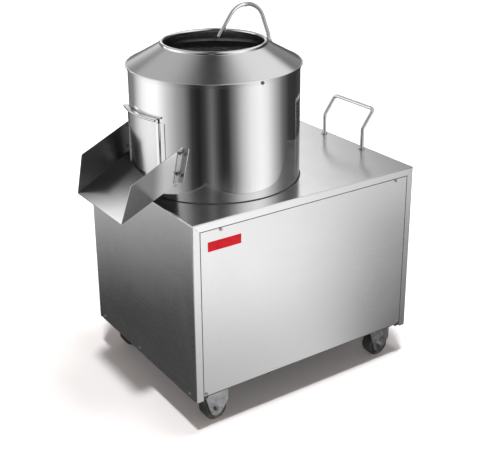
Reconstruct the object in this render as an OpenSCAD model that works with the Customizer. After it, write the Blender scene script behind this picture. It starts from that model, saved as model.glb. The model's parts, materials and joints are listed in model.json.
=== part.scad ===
// Electric potato peeler: a drum with a turning abrasive disc on a steel
// cabinet that holds the motor. Millimetres, +Z up. The origin is on the
// floor, under the centre of the whole machine's bounding box. The cabinet's
// width runs along X, its front faces -Y, and the chute points to -X.

/* [Cabinet] */
// Width of the cabinet, left to right
cab_w = 650; // [620:1:780]
// Depth of the cabinet, front to back
cab_d = 510; // [480:1:620]
// Height of the cabinet without its castors
cab_h = 450; // [410:1:500]
// Thickness of the cabinet's sheet metal
sheet = 1.5; // [1.2:0.1:2]
// Outside radius of the folded sheet edges
fold_r = 3; // [2.5:0.5:4]
// Width of the folded strips that frame the front and rear panels
strip_w = 19; // [15:1:24]
// Gap around the screwed panels and along the mitred strips
panel_gap = 0.6; // [0.4:0.1:1]
// Height of the slot under the front and rear panels
toe_gap = 10; // [6:1:14]
// Distance of the base plate behind the front and rear panels
toe_depth = 11; // [8:1:12]
// Distance of the bottom rails behind the base plate's edge
rail_back = 24; // [23:1:30]
// Thickness of the base plate
base_t = 2.5; // [2:0.5:4]
// Clearance between the sheet covers' folded corners and the frame inside
frame_fit = 0.2; // [0.1:0.1:0.5]
// Leg width of the frame's steel angle
angle_w = 30; // [28:1:34]
// Wall thickness of the frame's steel angle
angle_t = 3; // [2.5:0.5:4]
// Height of the frame's bottom rail
rail_h = 25; // [20:1:30]
// Top of the rails that carry the motor
motor_rail_z = 160; // [150:1:168]
// Thickness of the plate that carries the drum
support_t = 8; // [6:1:10]
// Distance of the upper front screw on the left from the cabinet's side
top_screw_left = 74; // [50:1:90]
// Distance of the upper front screw on the right from the cabinet's side
top_screw_right = 58; // [45:1:90]
// Distance of the lower panel screws from the cabinet's sides
low_screw_in = 27; // [24:1:30]

/* [Nameplate] */
// Width of the blank nameplate
plate_w = 88; // [60:1:120]
// Height of the blank nameplate
plate_h = 23; // [15:0.5:30]
// Thickness of the blank nameplate
plate_t = 0.8; // [0.5:0.1:1.2]
// Distance of the nameplate from the cabinet's left side
plate_x = 39.5; // [30:0.5:60]
// Distance of the nameplate's top edge from the cabinet's top
plate_drop = 48.5; // [40:0.5:60]

/* [Castors] */
// Height of a castor, floor to cabinet
castor_h = 87; // [79:1:92]
// Radius of a castor wheel
wheel_r = 31; // [26:1:33]
// Width of a castor wheel
wheel_w = 32; // [26:1:34]
// Radius of the castor axle
axle_r = 4; // [3:0.5:5]
// Running clearance between wheel and axle
axle_fit = 0.05; // [0.03:0.01:0.1]
// Thickness of the castor's pressed steel
castor_t = 2.5; // [2:0.5:3]
// Gap between a wheel's side and its fork
fork_gap = 1; // [0.5:0.1:2]
// Width of the castor fork's rounded foot, as a radius
foot_r = 18; // [15:0.5:20]
// Length of the castor fork's straight edge below its plate
fork_drop = 40; // [30:1:44]
// Length of the castor's top plate, along X
castor_plate_x = 66; // [62:1:70]
// Width of the castor's top plate, along Y
castor_plate_y = 62; // [62:1:66]
// Distance of a castor bolt from the edge of its plate, along X
castor_hole_in = 9; // [8:1:12]
// Distance of the left castors from the cabinet's left side
castor_left = 71; // [66:1:90]
// Distance of the right castors from the cabinet's right side
castor_right = 63; // [60:1:90]
// Distance of the castors from the cabinet's front and back
castor_in = 46; // [40:1:70]

/* [Drum] */
// Outside radius of the drum
drum_r = 206.5; // [198:0.5:228]
// Height of the drum's straight wall
drum_h = 285; // [260:1:330]
// Distance of the drum's axis from the cabinet's left side
drum_x = 221.5; // [205:0.5:260]
// Distance of the drum's axis from the cabinet's front
drum_y = 252; // [235:1:262]
// Thickness of the abrasive liner
liner_t = 5; // [3:0.5:8]
// Height of the bare band of drum above the liner
bare_band = 14; // [8:1:30]
// Height of the cone
cone_h = 46; // [30:1:60]
// Thickness of the cone's sheet
cone_t = 1.2; // [1:0.1:1.5]
// Height of the cone's skirt around the drum
skirt_h = 12; // [10:1:14]
// How far the cone's edge stands out beyond its skirt
drip_w = 3.3; // [2:0.1:5]
// Radius of the circle at the middle of the feed ring's rod
ring_r = 124.5; // [115:0.5:150]
// Radius of the feed ring's rod
ring_rod = 5; // [4:0.5:6]
// Radius of the drain
drain_r = 25; // [20:1:28]
// Distance of the drain from the drum's axis
drain_out = 150; // [140:1:160]
// Height of the drain outlet's axis above the cabinet's bottom
drain_z = 236; // [192:1:250]
// Length of the drain stub behind the cabinet
drain_stub = 35; // [25:1:60]

/* [Outlet and chute] */
// Half of the outlet's angle around the drum
outlet_half = 16; // [12:0.5:17]
// Height of the outlet's lower edge above the cabinet's top
outlet_low = 57; // [56:1:66]
// Height of the outlet
outlet_h = 90; // [75:1:91]
// Half of the door's angle around the drum
door_half = 20; // [19:0.5:21]
// Height of the door's bottom edge above the cabinet's top
door_low = 53; // [50:1:54]
// Height of the door
door_h = 141; // [125:1:143]
// Travel of the door
door_travel = 84; // [70:1:85]
// Thickness of the door
door_t = 1.5; // [1.2:0.1:2]
// Clearance of the door in its guides
door_fit = 0.4; // [0.3:0.1:0.6]
// Width of the door's folded grip
grip_w = 11; // [8:1:14]
// Radius of the rolled edge on the grip
grip_roll = 2.6; // [2:0.2:3]
// Distance of the chute's lip from the drum's axis
chute_reach = 323; // [300:0.5:350]
// Height of the chute's lip, counted from the cabinet's top
chute_lip_z = -20; // [-30:1:-10]
// Half of the chute's width at the lip
chute_lip_half = 113.3; // [100:0.5:120]
// Rise of the chute's floor for each mm towards the drum
floor_rise = 0.54; // [0.5:0.01:0.62]
// Rise of the side walls' lower edge for each mm towards the drum
wall_rise = 0.447; // [0.4:0.01:0.5]
// Rise of the side walls' upper edge for each mm towards the drum
wall_top_rise = 0.487; // [0.4:0.01:0.55]
// Distance of the walls' upper outer corner from the drum's axis
wall_top_reach = 300.5; // [280:0.5:310]
// Height of the walls' upper outer corner above the cabinet's top
wall_top_z = 71; // [60:1:80]
// How much each wall spreads for each mm towards the drum, negative if they close
wall_spread = -0.088; // [-0.1:0.002:0.06]
// How much each wall leans out for each mm of height
wall_lean = 0.162; // [0.1:0.002:0.18]
// Width of the bracket leaf on the drum
leaf_w = 12; // [12:0.5:20]
// Width of the bracket leaf on the chute
chute_leaf_w = 13; // [12:1:18]
// Thickness of the brackets
bracket_t = 2; // [1.5:0.5:3]

/* [Disc and drive] */
// Clearance between the disc's edge and the liner
disc_gap = 7; // [5:0.5:10]
// Height of the disc's top above the cabinet's top
disc_top = 50; // [46:1:53]
// Thickness of the disc
disc_t = 14; // [10:1:16]
// Height of the disc's humps
hump_h = 10; // [6:1:12]
// Radius of the main shaft
shaft_r = 15; // [14:0.5:17]
// Running clearance of the shafts in their bearings
shaft_fit = 0.05; // [0.03:0.01:0.1]
// Outside radius of the main bearings
bearing_r = 31; // [29:0.5:33]
// Width of the main bearings
bearing_w = 16; // [14:1:18]
// Length of the bearing housing below its flange
housing_l = 124; // [100:1:130]
// Distance between the main shaft and the motor shaft
shaft_distance = 285; // [275:1:300]
// Pitch radius of the drive pulley
pulley_pitch = 136; // [120:1:140]
// Pitch radius of the motor pulley
motor_pulley_pitch = 34; // [30:1:40]
// Width of the pulleys
pulley_w = 22; // [18:1:26]
// Height of the belt's middle above the cabinet's bottom
belt_z = 118; // [112:1:124]
// Radius of the motor's body
motor_r = 70; // [60:1:75]
// Length of the motor's body
motor_l = 160; // [140:1:175]
// Radius of the motor shaft
motor_shaft_r = 12; // [9:0.5:14]

/* [Water] */
// Angle of the water pipe around the drum, from +X towards the back
water_angle = 18.5; // [12:0.5:24]
// Outside radius of the water pipe
pipe_r = 5.5; // [4.5:0.5:6.5]
// Distance of the water pipe from the drum's axis, beyond the drum's wall
pipe_out = 15; // [15:0.5:20]
// Radius of the gooseneck
goose_r = 5.5; // [5:0.5:6.5]
// Lean of the gooseneck's rising part
goose_lean = 20; // [15:1:25]
// Length of the gooseneck's straight rise
goose_rise = 46; // [40:1:80]
// Bend radius of the gooseneck
goose_bend = 52; // [40:1:60]
// Angle between the nozzle and the vertical
nozzle_lean = 35; // [20:1:45]
// Length of the nozzle's straight end
nozzle_l = 61.5; // [50:0.5:75]

/* [Handle and buttons] */
// Radius of the push handle's rod
handle_r = 5; // [4:0.5:6]
// Distance between the handle's feet
handle_span = 159; // [140:1:200]
// Middle of the handle, from the cabinet's front
handle_y = 257; // [230:1:280]
// Distance of the handle's feet from the cabinet's right side
handle_in = 19; // [18:1:22]
// Height of the handle's lower bends above the cabinet's top
handle_low = 56; // [45:1:80]
// Height of the handle's bar above its lower bends
handle_up = 49; // [40:1:70]
// How far the handle's bar stands out from its feet
handle_crank = 36; // [25:1:50]
// Bend radius of the handle
handle_bend = 9; // [8:1:14]
// Radius of a button's cap
button_r = 8.5; // [8:0.25:9]
// Running clearance of a button in its bezel
button_fit = 0.08; // [0.05:0.01:0.1]
// Travel of a button
button_travel = 4; // [3:0.5:5]
// Distance of the start button from the cabinet's front
button_y = 130; // [100:1:160]
// Distance between the two buttons
button_pitch = 50; // [40:1:60]
// Height of the buttons above the cabinet's bottom
button_z = 330; // [300:1:340]

/* [Hidden] */
$fn = 96;

// A small overshoot for cuts that have to pass right through
over = 1;
// Clearance of a shank in the hole that it passes through
hole_fit = 0.3;
// Clearance between round pieces of the same body
seat_fit = 0.05;
// Length of the seams that join pieces of rod
seam_l = 0.6;

// The bounding box in the cabinet's own coordinates, for the origin
left_edge = drum_x - chute_reach;
right_edge = cab_w - handle_in + handle_crank + handle_r;
screw_head_h = 2.2;
front_edge = -screw_head_h;
rear_edge = cab_d + drain_stub;
centre_x = (left_edge + right_edge) / 2;
centre_y = (front_edge + rear_edge) / 2;

// Frame and cabinet levels
frame_in = sheet + (fold_r - sheet) * (1 - cos(45)) + frame_fit;
frame_top = cab_h - frame_in;
panel_top = cab_h - strip_w - panel_gap;
panel_side = strip_w + panel_gap;
support_low = -(frame_in + angle_t + support_t);
motor_x = drum_x + shaft_distance;
motor_rail_out = 75;
motor_plate_t = 8;
motor_plate_x = 210;
motor_plate_y = 180;
motor_plate_z = motor_rail_z + angle_t;
motor_z = motor_plate_z + motor_plate_t;
motor_flange_t = 10;
motor_flange_r = motor_r + 16;
motor_top = motor_z + motor_flange_t + motor_l;

// Screws: shank radius, head radius and the grip behind a cover
screw_r = 2.3;
screw_head_r = 4.2;
screw_grip = frame_in + angle_t;
low_screw_z = 17;
side_screw_z = 8;
side_screw_y = [33, cab_d / 2 + 26, cab_d - 30];
top_screw_z = panel_top - 4.8;
front_screws = [
    [top_screw_left, top_screw_z],
    [cab_w - top_screw_right, top_screw_z],
    [low_screw_in, low_screw_z],
    [cab_w - low_screw_in, low_screw_z]
];
rim_screw_angles = [-91, 29, 149];
rim_screw_z = drum_h - 8;

// Castors, left to right and front to back
axle_z = wheel_r - castor_h;
castor_x = [castor_left, cab_w - castor_right];
castor_y = [castor_in, cab_d - castor_in];
fork_in = wheel_w / 2 + fork_gap;
fork_out = fork_in + castor_t;
castor_bolt_r = 2.5;
castor_bolt_x = castor_plate_x / 2 - castor_hole_in;
castor_bolt_y = castor_plate_y / 2 - 5.5;

// Drum, cone and liner
drum_in = drum_r - sheet;
liner_out = drum_in - 0.3;
liner_in = liner_out - liner_t;
liner_low = 8;
liner_high = drum_h - bare_band;
floor_t = 2;
skirt_in = drum_r + seat_fit;
skirt_out = skirt_in + cone_t;
drip_out = skirt_out + drip_w;
cone_slope = cone_h / (skirt_in - ring_r);
cone_rise = cone_t / cos(atan(cone_slope));
ring_z = drum_h + cone_h + cone_rise / 2;
drain_y = drum_y + drain_out;
drain_wall = 2;
drain_bend = 50;
// Bead inside the rear panel that stops the drain hose
drain_bead_back = 10;
drain_bead_w = 4;

// Outlet door and guides
door_in = skirt_out + 0.65;
door_out = door_in + door_t;
door_fold = 3.5;
guide_t = 1.5;
guide_low = door_low - guide_t;
guide_high = 183;
guide_web = door_half + 0.15;
guide_web_end = guide_web + 0.4;
guide_lip = door_half - 1.2;
guide_leaf_end = guide_web + 4.2;
guide_lip_in = door_out + door_fit;
guide_lip_out = guide_lip_in + guide_t;

// Chute walls, worked out from the lip
wall_yaw = -atan(wall_spread);
wall_roll = -atan(wall_lean * cos(wall_yaw));
wall_from = 150;
floor_spread = wall_spread + wall_lean * floor_rise;
floor_drop = sheet / cos(atan(floor_rise));
function wall_w(d, z) =
    chute_lip_half + wall_spread * (chute_reach - d) + wall_lean * (z - chute_lip_z);
function wall_low_z(d) = chute_lip_z + wall_rise * (chute_reach - d);
function wall_high_z(d) = wall_top_z + wall_top_rise * (wall_top_reach - d);
function floor_z(d) = chute_lip_z + floor_rise * (chute_reach - d);
bracket_low = 49;
bracket_high = 132;
bolt_z = [73, 123];
stud_z = [67, 119];
bolt_r = 2;
bolt_af = 7;

// Disc and shafts, from the cabinet's top
disc_r = liner_in - disc_gap;
disc_low = disc_top - disc_t;
hub_low = disc_low - 6;
hub_r = 40;
shaft_neck_r = shaft_r - 2.5;
shaft_thread_r = shaft_r - 5;
shaft_low = belt_z - cab_h - 23;
shaft_top = disc_top + 18;
flange_t = 12;
flange_r = 80;
housing_r = bearing_r + 11;
housing_low = support_low - flange_t - housing_l;
spigot_top = 18;
seal_low = 4;
seal_h = 10;
upper_bearing_top = -8;
lower_bearing_low = housing_low + 4;
belt_level = belt_z - cab_h;
nut_af = 30;

// Belt section and pulley grooves
belt_top_half = 6.5;
belt_low_half = 4.1;
belt_above = 2.7;
belt_below = 5.3;
belt_fit = 0.4;
belt_tilt = asin((pulley_pitch - motor_pulley_pitch) / shaft_distance);
belt_run = shaft_distance * cos(belt_tilt);

// Water pipe
pipe_from_axis = drum_r + pipe_out;
pipe_low = 24;
pipe_high = drum_h - 6;
pipe_wall = 1.2;
inlet_l = 40;
inlet_bend = 20;
clip_z = [70, 215];
clip_w = 12;
union_top = drum_h + 6;
goose_start_bend = 75;
goose_fitting = 5;

// Push handle
handle_x = cab_w - handle_in;
crank_angle = atan2(handle_crank, handle_up);
crank_len = sqrt(handle_crank * handle_crank + handle_up * handle_up);
crank_tangent = handle_bend * tan(crank_angle / 2);
handle_tail = 18;

// Buttons: the hole for the barrel and the depth of the cap's bore
barrel_r = 10.9;
bezel_r = 14.5;
bezel_h = 5;
cap_depth = 8;
cap_bore = cap_depth + button_travel + 2;

// Cable gland
gland_x = cab_w - 90;
gland_z = 100;
gland_bore = 4.5;
gland_thread = 8;

// ---- Places -------------------------------------------------------------

module at_cabinet() {
    translate([-centre_x, -centre_y, castor_h]) children();
}

// The drum's axis, with z counted from the cabinet's top
module at_drum() {
    at_cabinet() translate([drum_x, drum_y, cab_h]) children();
}

// As at_drum, turned so that +X points out along the chute
module at_outlet() {
    at_drum() rotate([0, 0, 180]) children();
}

module at_motor() {
    at_cabinet() translate([motor_x, drum_y, 0]) children();
}

module at_castor(ix, iy) {
    at_cabinet() translate([castor_x[ix], castor_y[iy], 0]) children();
}

// The plane of a chute wall: x along the chute, y out of it, z up the wall.
// side is 1 for one wall and -1 for the other.
module at_chute_wall(side) {
    at_outlet() mirror([0, side < 0 ? 1 : 0, 0])
        translate([chute_reach, chute_lip_half, chute_lip_z])
            rotate([wall_roll, 0, wall_yaw]) children();
}

// ---- Shapes that repeat ---------------------------------------------------

module tube(ri, ro, z0, z1) {
    translate([0, 0, z0]) difference() {
        cylinder(r = ro, h = z1 - z0);
        translate([0, 0, -over]) cylinder(r = ri, h = z1 - z0 + 2 * over);
    }
}

// A bar bent round the z axis, between two radii, heights and angles
module arc_bar(ri, ro, z0, z1, a0, a1) {
    rotate_extrude(angle = a1 - a0, start = a0)
        translate([ri, z0]) square([ro - ri, z1 - z0]);
}

// A hexagon nut with a flat-to-flat size
module hexagon(af, h) {
    cylinder(r = af / 2 / cos(30), h = h, $fn = 6);
}

// A bolt through a stack: the head lies below z = 0, the nut above the grip
module hex_bolt(r, grip) {
    translate([0, 0, -1.4 * r]) hexagon(3.3 * r, 1.4 * r);
    cylinder(r = r, h = grip + 2.2 * r);
    translate([0, 0, grip]) hexagon(3.3 * r, 1.7 * r);
}

// A bolt that ends in the plate it is screwed into
module tapped_bolt(r, length) {
    translate([0, 0, -1.4 * r]) hexagon(3.3 * r, 1.4 * r);
    cylinder(r = r, h = length);
}

// A pan head screw: the head is above z = 0 and the shank below
module pan_screw(grip) {
    cylinder(r1 = screw_head_r, r2 = screw_head_r - 0.4, h = 1.4);
    translate([0, 0, 1.4]) cylinder(r1 = screw_head_r - 0.4, r2 = 2.4, h = screw_head_h - 1.4);
    translate([0, 0, -grip]) cylinder(r = screw_r, h = grip);
}

// A steel angle along +X, its legs towards +Y and +Z
module angle_bar(length) {
    cube([length, angle_w, angle_t]);
    cube([length, angle_t, angle_w]);
}

// Rod pieces that follow each other: each starts at the origin along +Z and
// puts its children at its own end
module straight_then(length, r) {
    cylinder(r = r, h = length);
    translate([0, 0, length]) children();
}

module bend_then(bend_r, angle, r) {
    rod_seam(r);
    translate([bend_r, 0, 0]) rotate([90, 0, 0])
        rotate_extrude(angle = angle, start = 180 - angle)
            translate([bend_r, 0]) circle(r = r);
    translate([bend_r * (1 - cos(angle)), 0, bend_r * sin(angle)]) rotate([0, angle, 0]) {
        rod_seam(r);
        children();
    }
}

// A seam that joins two pieces of rod, a little proud of them
module rod_seam(r) {
    cylinder(r = r + max(0.03, r / 200), h = seam_l, center = true);
}

// A rectangle with its two upper corners rounded
module arch_profile(w, h, r) {
    square([w, h - r]);
    translate([r, 0]) square([w - 2 * r, h]);
    for (x = [r, w - r]) translate([x, h - r]) circle(r = r);
}

// A block whose four upper edges are rounded
module cap_block(w, d, h, r) {
    intersection() {
        translate([0, d, 0]) rotate([90, 0, 0]) linear_extrude(d) arch_profile(w, h, r);
        rotate([90, 0, 90]) linear_extrude(w) arch_profile(d, h, r);
    }
}

// ---- Cabinet ----------------------------------------------------------------

module cabinet_top() {
    at_cabinet() color("gainsboro") difference() {
        translate([0, 0, cab_h - strip_w]) cap_block(cab_w, cab_d, strip_w, fold_r);
        translate([sheet, sheet, cab_h - strip_w - over])
            cap_block(cab_w - 2 * sheet, cab_d - 2 * sheet, strip_w - sheet + over, fold_r - sheet);
        for (side = [0, 1]) {
            translate([side * cab_w, 0, 0]) mirror([side, 0, 0])
                translate([0, cab_d + over, 0]) rotate([90, 0, 0])
                    linear_extrude(cab_d + 2 * over) polygon([
                        [-over, cab_h - fold_r],
                        [fold_r, cab_h - fold_r],
                        [strip_w, cab_h - strip_w],
                        [strip_w, cab_h - strip_w - over],
                        [-over, cab_h - strip_w - over]
                    ]);
        }
        handle_holes();
        translate([drum_x, drum_y, 0]) cylinder(r = housing_r + 1, h = cab_h + over);
        translate([drum_x, drain_y, 0]) cylinder(r = drain_r + 1, h = cab_h + over);
    }
}

// The folded outline of a side panel, seen from above
module channel_outline(inset, r) {
    translate([inset + r, inset]) square([strip_w - inset - r + inset, cab_d - 2 * inset]);
    translate([inset, inset + r]) square([r + over, cab_d - 2 * inset - 2 * r]);
    for (y = [inset + r, cab_d - inset - r]) translate([inset + r, y]) circle(r = r);
}

module side_panel_sheet() {
    difference() {
        linear_extrude(cab_h - fold_r) difference() {
            intersection() {
                channel_outline(0, fold_r);
                square([strip_w, cab_d]);
            }
            channel_outline(sheet, fold_r - sheet);
        }
        translate([0, cab_d + over, 0]) rotate([90, 0, 0])
            linear_extrude(cab_d + 2 * over) polygon([
                [fold_r, cab_h - fold_r],
                [fold_r, cab_h - fold_r - panel_gap],
                [strip_w + over, cab_h - strip_w - over - panel_gap],
                [strip_w + over, cab_h]
            ]);
        for (y = side_screw_y)
            translate([-over, y, side_screw_z]) rotate([0, 90, 0])
                cylinder(r = screw_r + hole_fit, h = sheet + 2 * over);
    }
}

module left_side_panel() {
    at_cabinet() color("silver") side_panel_sheet();
}

module right_side_panel() {
    at_cabinet() color("silver") difference() {
        translate([cab_w, 0, 0]) mirror([1, 0, 0]) side_panel_sheet();
        for (i = [0, 1])
            translate([cab_w - sheet - over, button_y + i * button_pitch, button_z])
                rotate([0, 90, 0]) cylinder(r = barrel_r + hole_fit, h = sheet + 2 * over);
    }
}

// A flat cover panel with its four screw holes, standing in the XZ plane
module screwed_panel() {
    difference() {
        translate([panel_side, 0, toe_gap])
            cube([cab_w - 2 * panel_side, sheet, panel_top - toe_gap]);
        for (p = front_screws)
            translate([p[0], sheet + over, p[1]]) rotate([90, 0, 0])
                cylinder(r = screw_r + hole_fit, h = sheet + 2 * over);
    }
}

module front_panel() {
    at_cabinet() color("whitesmoke") screwed_panel();
}

module rear_panel() {
    slot_w = 90;
    slot_h = 6;
    slot_pitch = 16;
    at_cabinet() color("silver") difference() {
        translate([0, cab_d - sheet, 0]) screwed_panel();
        for (i = [0 : 6])
            translate([motor_x - slot_w / 2, cab_d - sheet - over, 240 + i * slot_pitch])
                cube([slot_w, sheet + 2 * over, slot_h]);
        translate([drum_x, cab_d + over, drain_z]) rotate([90, 0, 0])
            cylinder(r = drain_r + 1, h = sheet + 2 * over);
        translate([gland_x, cab_d + over, gland_z]) rotate([90, 0, 0])
            cylinder(r = gland_thread + hole_fit, h = sheet + 2 * over);
    }
}

module nameplate() {
    rim = 1.2;
    at_cabinet() color("crimson")
        translate([plate_x, -plate_t, cab_h - plate_drop - plate_h]) difference() {
            cube([plate_w, plate_t, plate_h]);
            translate([rim, -over, rim])
                cube([plate_w - 2 * rim, plate_t / 4 + over, plate_h - 2 * rim]);
        }
}

module base_plate() {
    slot_l = 140;
    slot_w = 8;
    at_cabinet() color("darkgray") difference() {
        translate([frame_in, frame_in + toe_depth, 0])
            cube([cab_w - 2 * frame_in, cab_d - 2 * frame_in - 2 * toe_depth, base_t]);
        castor_holes();
        for (i = [0 : 5])
            translate([motor_x - slot_l / 2, drum_y - 75 + i * 28, -over])
                cube([slot_l, slot_w, base_t + 2 * over]);
    }
}

module castor_holes() {
    for (ix = [0, 1], iy = [0, 1], sx = [-1, 1], sy = [-1, 1])
        translate([
            castor_x[ix] + sx * castor_bolt_x,
            castor_y[iy] + sy * castor_bolt_y,
            -castor_t - over
        ]) cylinder(r = castor_bolt_r + hole_fit, h = castor_t + base_t + 2 * over);
}

module handle_holes() {
    for (s = [-1, 1])
        translate([handle_x, handle_y + s * handle_span / 2, cab_h - angle_w])
            cylinder(r = handle_r + hole_fit, h = angle_w + over);
}

// Welded frame of steel angle inside the covers
module inner_frame() {
    in_w = cab_w - 2 * frame_in;
    in_d = cab_d - 2 * frame_in;
    at_cabinet() color("dimgray") difference() {
        union() {
            for (sx = [0, 1], sy = [0, 1])
                translate([sx * cab_w, sy * cab_d, 0]) mirror([sx, 0, 0]) mirror([0, sy, 0])
                    translate([frame_in, frame_in, base_t])
                        linear_extrude(frame_top - base_t) {
                            square([angle_w, angle_t]);
                            square([angle_t, angle_w]);
                        }
            for (sy = [0, 1])
                translate([0, sy * cab_d, 0]) mirror([0, sy, 0]) {
                    translate([frame_in, frame_in, frame_top]) mirror([0, 0, 1]) angle_bar(in_w);
                    translate([frame_in, frame_in + toe_depth + rail_back, base_t])
                        cube([in_w, angle_t, rail_h]);
                    translate([frame_in, frame_in, motor_rail_z]) mirror([0, 0, 1])
                        angle_bar(in_w);
                }
            for (sx = [0, 1])
                translate([sx * cab_w, 0, 0]) mirror([sx, 0, 0]) {
                    translate([frame_in, cab_d - frame_in, frame_top]) rotate([0, 0, -90])
                        mirror([0, 0, 1]) angle_bar(in_d);
                    translate([frame_in, frame_in, base_t]) cube([angle_t, in_d, rail_h]);
                }
            motor_rails(in_d);
        }
        handle_holes();
        for (p = front_screws, y = [frame_in, cab_d - frame_in - angle_t])
            translate([p[0], y + angle_t + over, p[1]]) rotate([90, 0, 0])
                cylinder(r = screw_r + hole_fit, h = angle_t + 2 * over);
        for (x = [0, cab_w - 10], y = side_screw_y)
            translate([x, y, side_screw_z]) rotate([0, 90, 0])
                cylinder(r = screw_r + hole_fit, h = 10);
        motor_plate_points() cylinder(r = 4 + hole_fit, h = 2 * angle_t, center = true);
    }
}

// Two angles front to back, under the motor plate
module motor_rails(in_d) {
    for (s = [-1, 1])
        translate([motor_x, frame_in, motor_rail_z]) mirror([s < 0 ? 1 : 0, 0, 0]) {
            translate([motor_rail_out - angle_w / 2, 0, 0]) cube([angle_w, in_d, angle_t]);
            translate([motor_rail_out - angle_w / 2, angle_w, -angle_w + angle_t])
                cube([angle_t, in_d - 2 * angle_w, angle_w]);
        }
}

// The four points where the motor plate is bolted to its rails
module motor_plate_points() {
    for (sx = [-1, 1], sy = [-1, 1])
        translate([
            motor_x + sx * motor_rail_out,
            drum_y + sy * (motor_plate_y / 2 - 20),
            motor_rail_z + angle_t
        ]) children();
}

module drum_support_plate() {
    support_w = 260;
    inside = frame_in + angle_t + 0.2;
    at_cabinet() color("gray") difference() {
        translate([drum_x - support_w / 2, inside, cab_h + support_low])
            cube([support_w, cab_d - 2 * inside, support_t]);
        translate([drum_x, drum_y, 0]) cylinder(r = housing_r + 1, h = cab_h);
        translate([drum_x, drain_y, 0]) cylinder(r = drain_r + 1, h = cab_h);
        translate([drum_x, drum_y, cab_h + support_low])
            housing_bolt_points() cylinder(r = 4 + hole_fit, h = 40, center = true);
    }
}

module housing_bolt_points() {
    for (a = [45 : 90 : 315]) rotate([0, 0, a]) translate([flange_r - 14, 0, 0]) children();
}

module motor_plate() {
    at_cabinet() color("slategray") difference() {
        translate([motor_x - motor_plate_x / 2, drum_y - motor_plate_y / 2, motor_plate_z])
            cube([motor_plate_x, motor_plate_y, motor_plate_t]);
        translate([motor_x, drum_y, 0]) cylinder(r = motor_r - 20, h = motor_top);
        motor_plate_points() cylinder(r = 4 + hole_fit, h = 40, center = true);
        translate([motor_x, drum_y, motor_z])
            motor_bolt_points() cylinder(r = 3 + hole_fit, h = 40, center = true);
    }
}

module motor_bolt_points() {
    for (a = [60, 120, 240, 300])
        rotate([0, 0, a]) translate([motor_flange_r - 8, 0, 0]) children();
}

module cover_screws() {
    color("dimgray") {
        at_cabinet() {
            for (p = front_screws) {
                translate([p[0], 0, p[1]]) rotate([90, 0, 0]) pan_screw(screw_grip);
                translate([p[0], cab_d, p[1]]) rotate([-90, 0, 0]) pan_screw(screw_grip);
            }
            for (y = side_screw_y) {
                translate([0, y, side_screw_z]) rotate([0, -90, 0]) pan_screw(screw_grip);
                translate([cab_w, y, side_screw_z]) rotate([0, 90, 0]) pan_screw(screw_grip);
            }
        }
        at_drum() for (a = rim_screw_angles)
            rotate([0, 0, a]) translate([skirt_out, 0, rim_screw_z]) rotate([0, 90, 0])
                pan_screw(cone_t + sheet);
    }
}

module frame_bolts() {
    color("lightsteelblue") {
        for (ix = [0, 1], iy = [0, 1], sx = [-1, 1], sy = [-1, 1])
            at_castor(ix, iy)
                translate([sx * castor_bolt_x, sy * castor_bolt_y, -castor_t])
                    hex_bolt(castor_bolt_r, castor_t + base_t);
        at_drum() housing_bolt_points()
            translate([0, 0, support_low - flange_t]) tapped_bolt(4, flange_t + support_t - 1);
        at_cabinet() motor_plate_points()
            translate([0, 0, -angle_t]) hex_bolt(4, angle_t + motor_plate_t);
        at_motor() motor_bolt_points()
            translate([0, 0, motor_z - motor_plate_t])
                hex_bolt(3, motor_plate_t + motor_flange_t);
    }
}

// ---- Castors ------------------------------------------------------------------

// Where a line from a point touches a circle round the origin
function tangent_at(p, r, side) =
    let (a = atan2(p[1], p[0]) + side * acos(r / norm(p))) [r * cos(a), r * sin(a)];

module castor_fork(ix, iy) {
    half = castor_plate_x / 2;
    left_top = [-half, -axle_z - castor_t - 4];
    right_low = [half - 1, -axle_z - castor_t - fork_drop];
    at_castor(ix, iy) color("lightgray") {
        difference() {
            translate([-half, -castor_plate_y / 2, -castor_t])
                cube([castor_plate_x, castor_plate_y, castor_t]);
            for (sx = [-1, 1], sy = [-1, 1])
                translate([sx * castor_bolt_x, sy * castor_bolt_y, -castor_t - over])
                    cylinder(r = castor_bolt_r + hole_fit, h = castor_t + 2 * over);
        }
        difference() {
            for (y = [-fork_out, fork_in])
                translate([0, y + castor_t, axle_z]) rotate([90, 0, 0]) linear_extrude(castor_t) {
                    polygon([
                        [-half, -axle_z - castor_t],
                        [half, -axle_z - castor_t],
                        right_low,
                        tangent_at(right_low, foot_r, -1),
                        [0, 0],
                        tangent_at(left_top, foot_r, 1),
                        left_top
                    ]);
                    circle(r = foot_r);
                }
            translate([0, fork_out + over, axle_z]) rotate([90, 0, 0])
                cylinder(r = axle_r + axle_fit, h = 2 * fork_out + 2 * over);
        }
    }
}

module castor_wheel(ix, iy) {
    edge = 4;
    half = wheel_w / 2;
    at_castor(ix, iy) color("black") translate([0, 0, axle_z]) rotate([90, 0, 0])
        rotate_extrude() difference() {
            union() {
                translate([axle_r + axle_fit, -half]) square([9 - axle_r, wheel_w]);
                translate([8, 3 - half]) square([wheel_r - 12, wheel_w - 6]);
                translate([wheel_r - 7 - edge, edge - half]) square([7 + edge, wheel_w - 2 * edge]);
                translate([wheel_r - 7 - edge, -half]) square([7, wheel_w]);
                for (y = [-half + edge, half - edge])
                    translate([wheel_r - edge, y]) circle(r = edge);
            }
        }
}

module castor_axles() {
    color("silver") for (ix = [0, 1], iy = [0, 1])
        at_castor(ix, iy) translate([0, fork_out, axle_z]) rotate([90, 0, 0]) {
            translate([0, 0, -5]) hexagon(13, 5);
            cylinder(r = axle_r, h = 2 * fork_out + 8);
            translate([0, 0, 2 * fork_out]) hexagon(13, 6.5);
        }
}

// ---- Drum -----------------------------------------------------------------------

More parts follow.
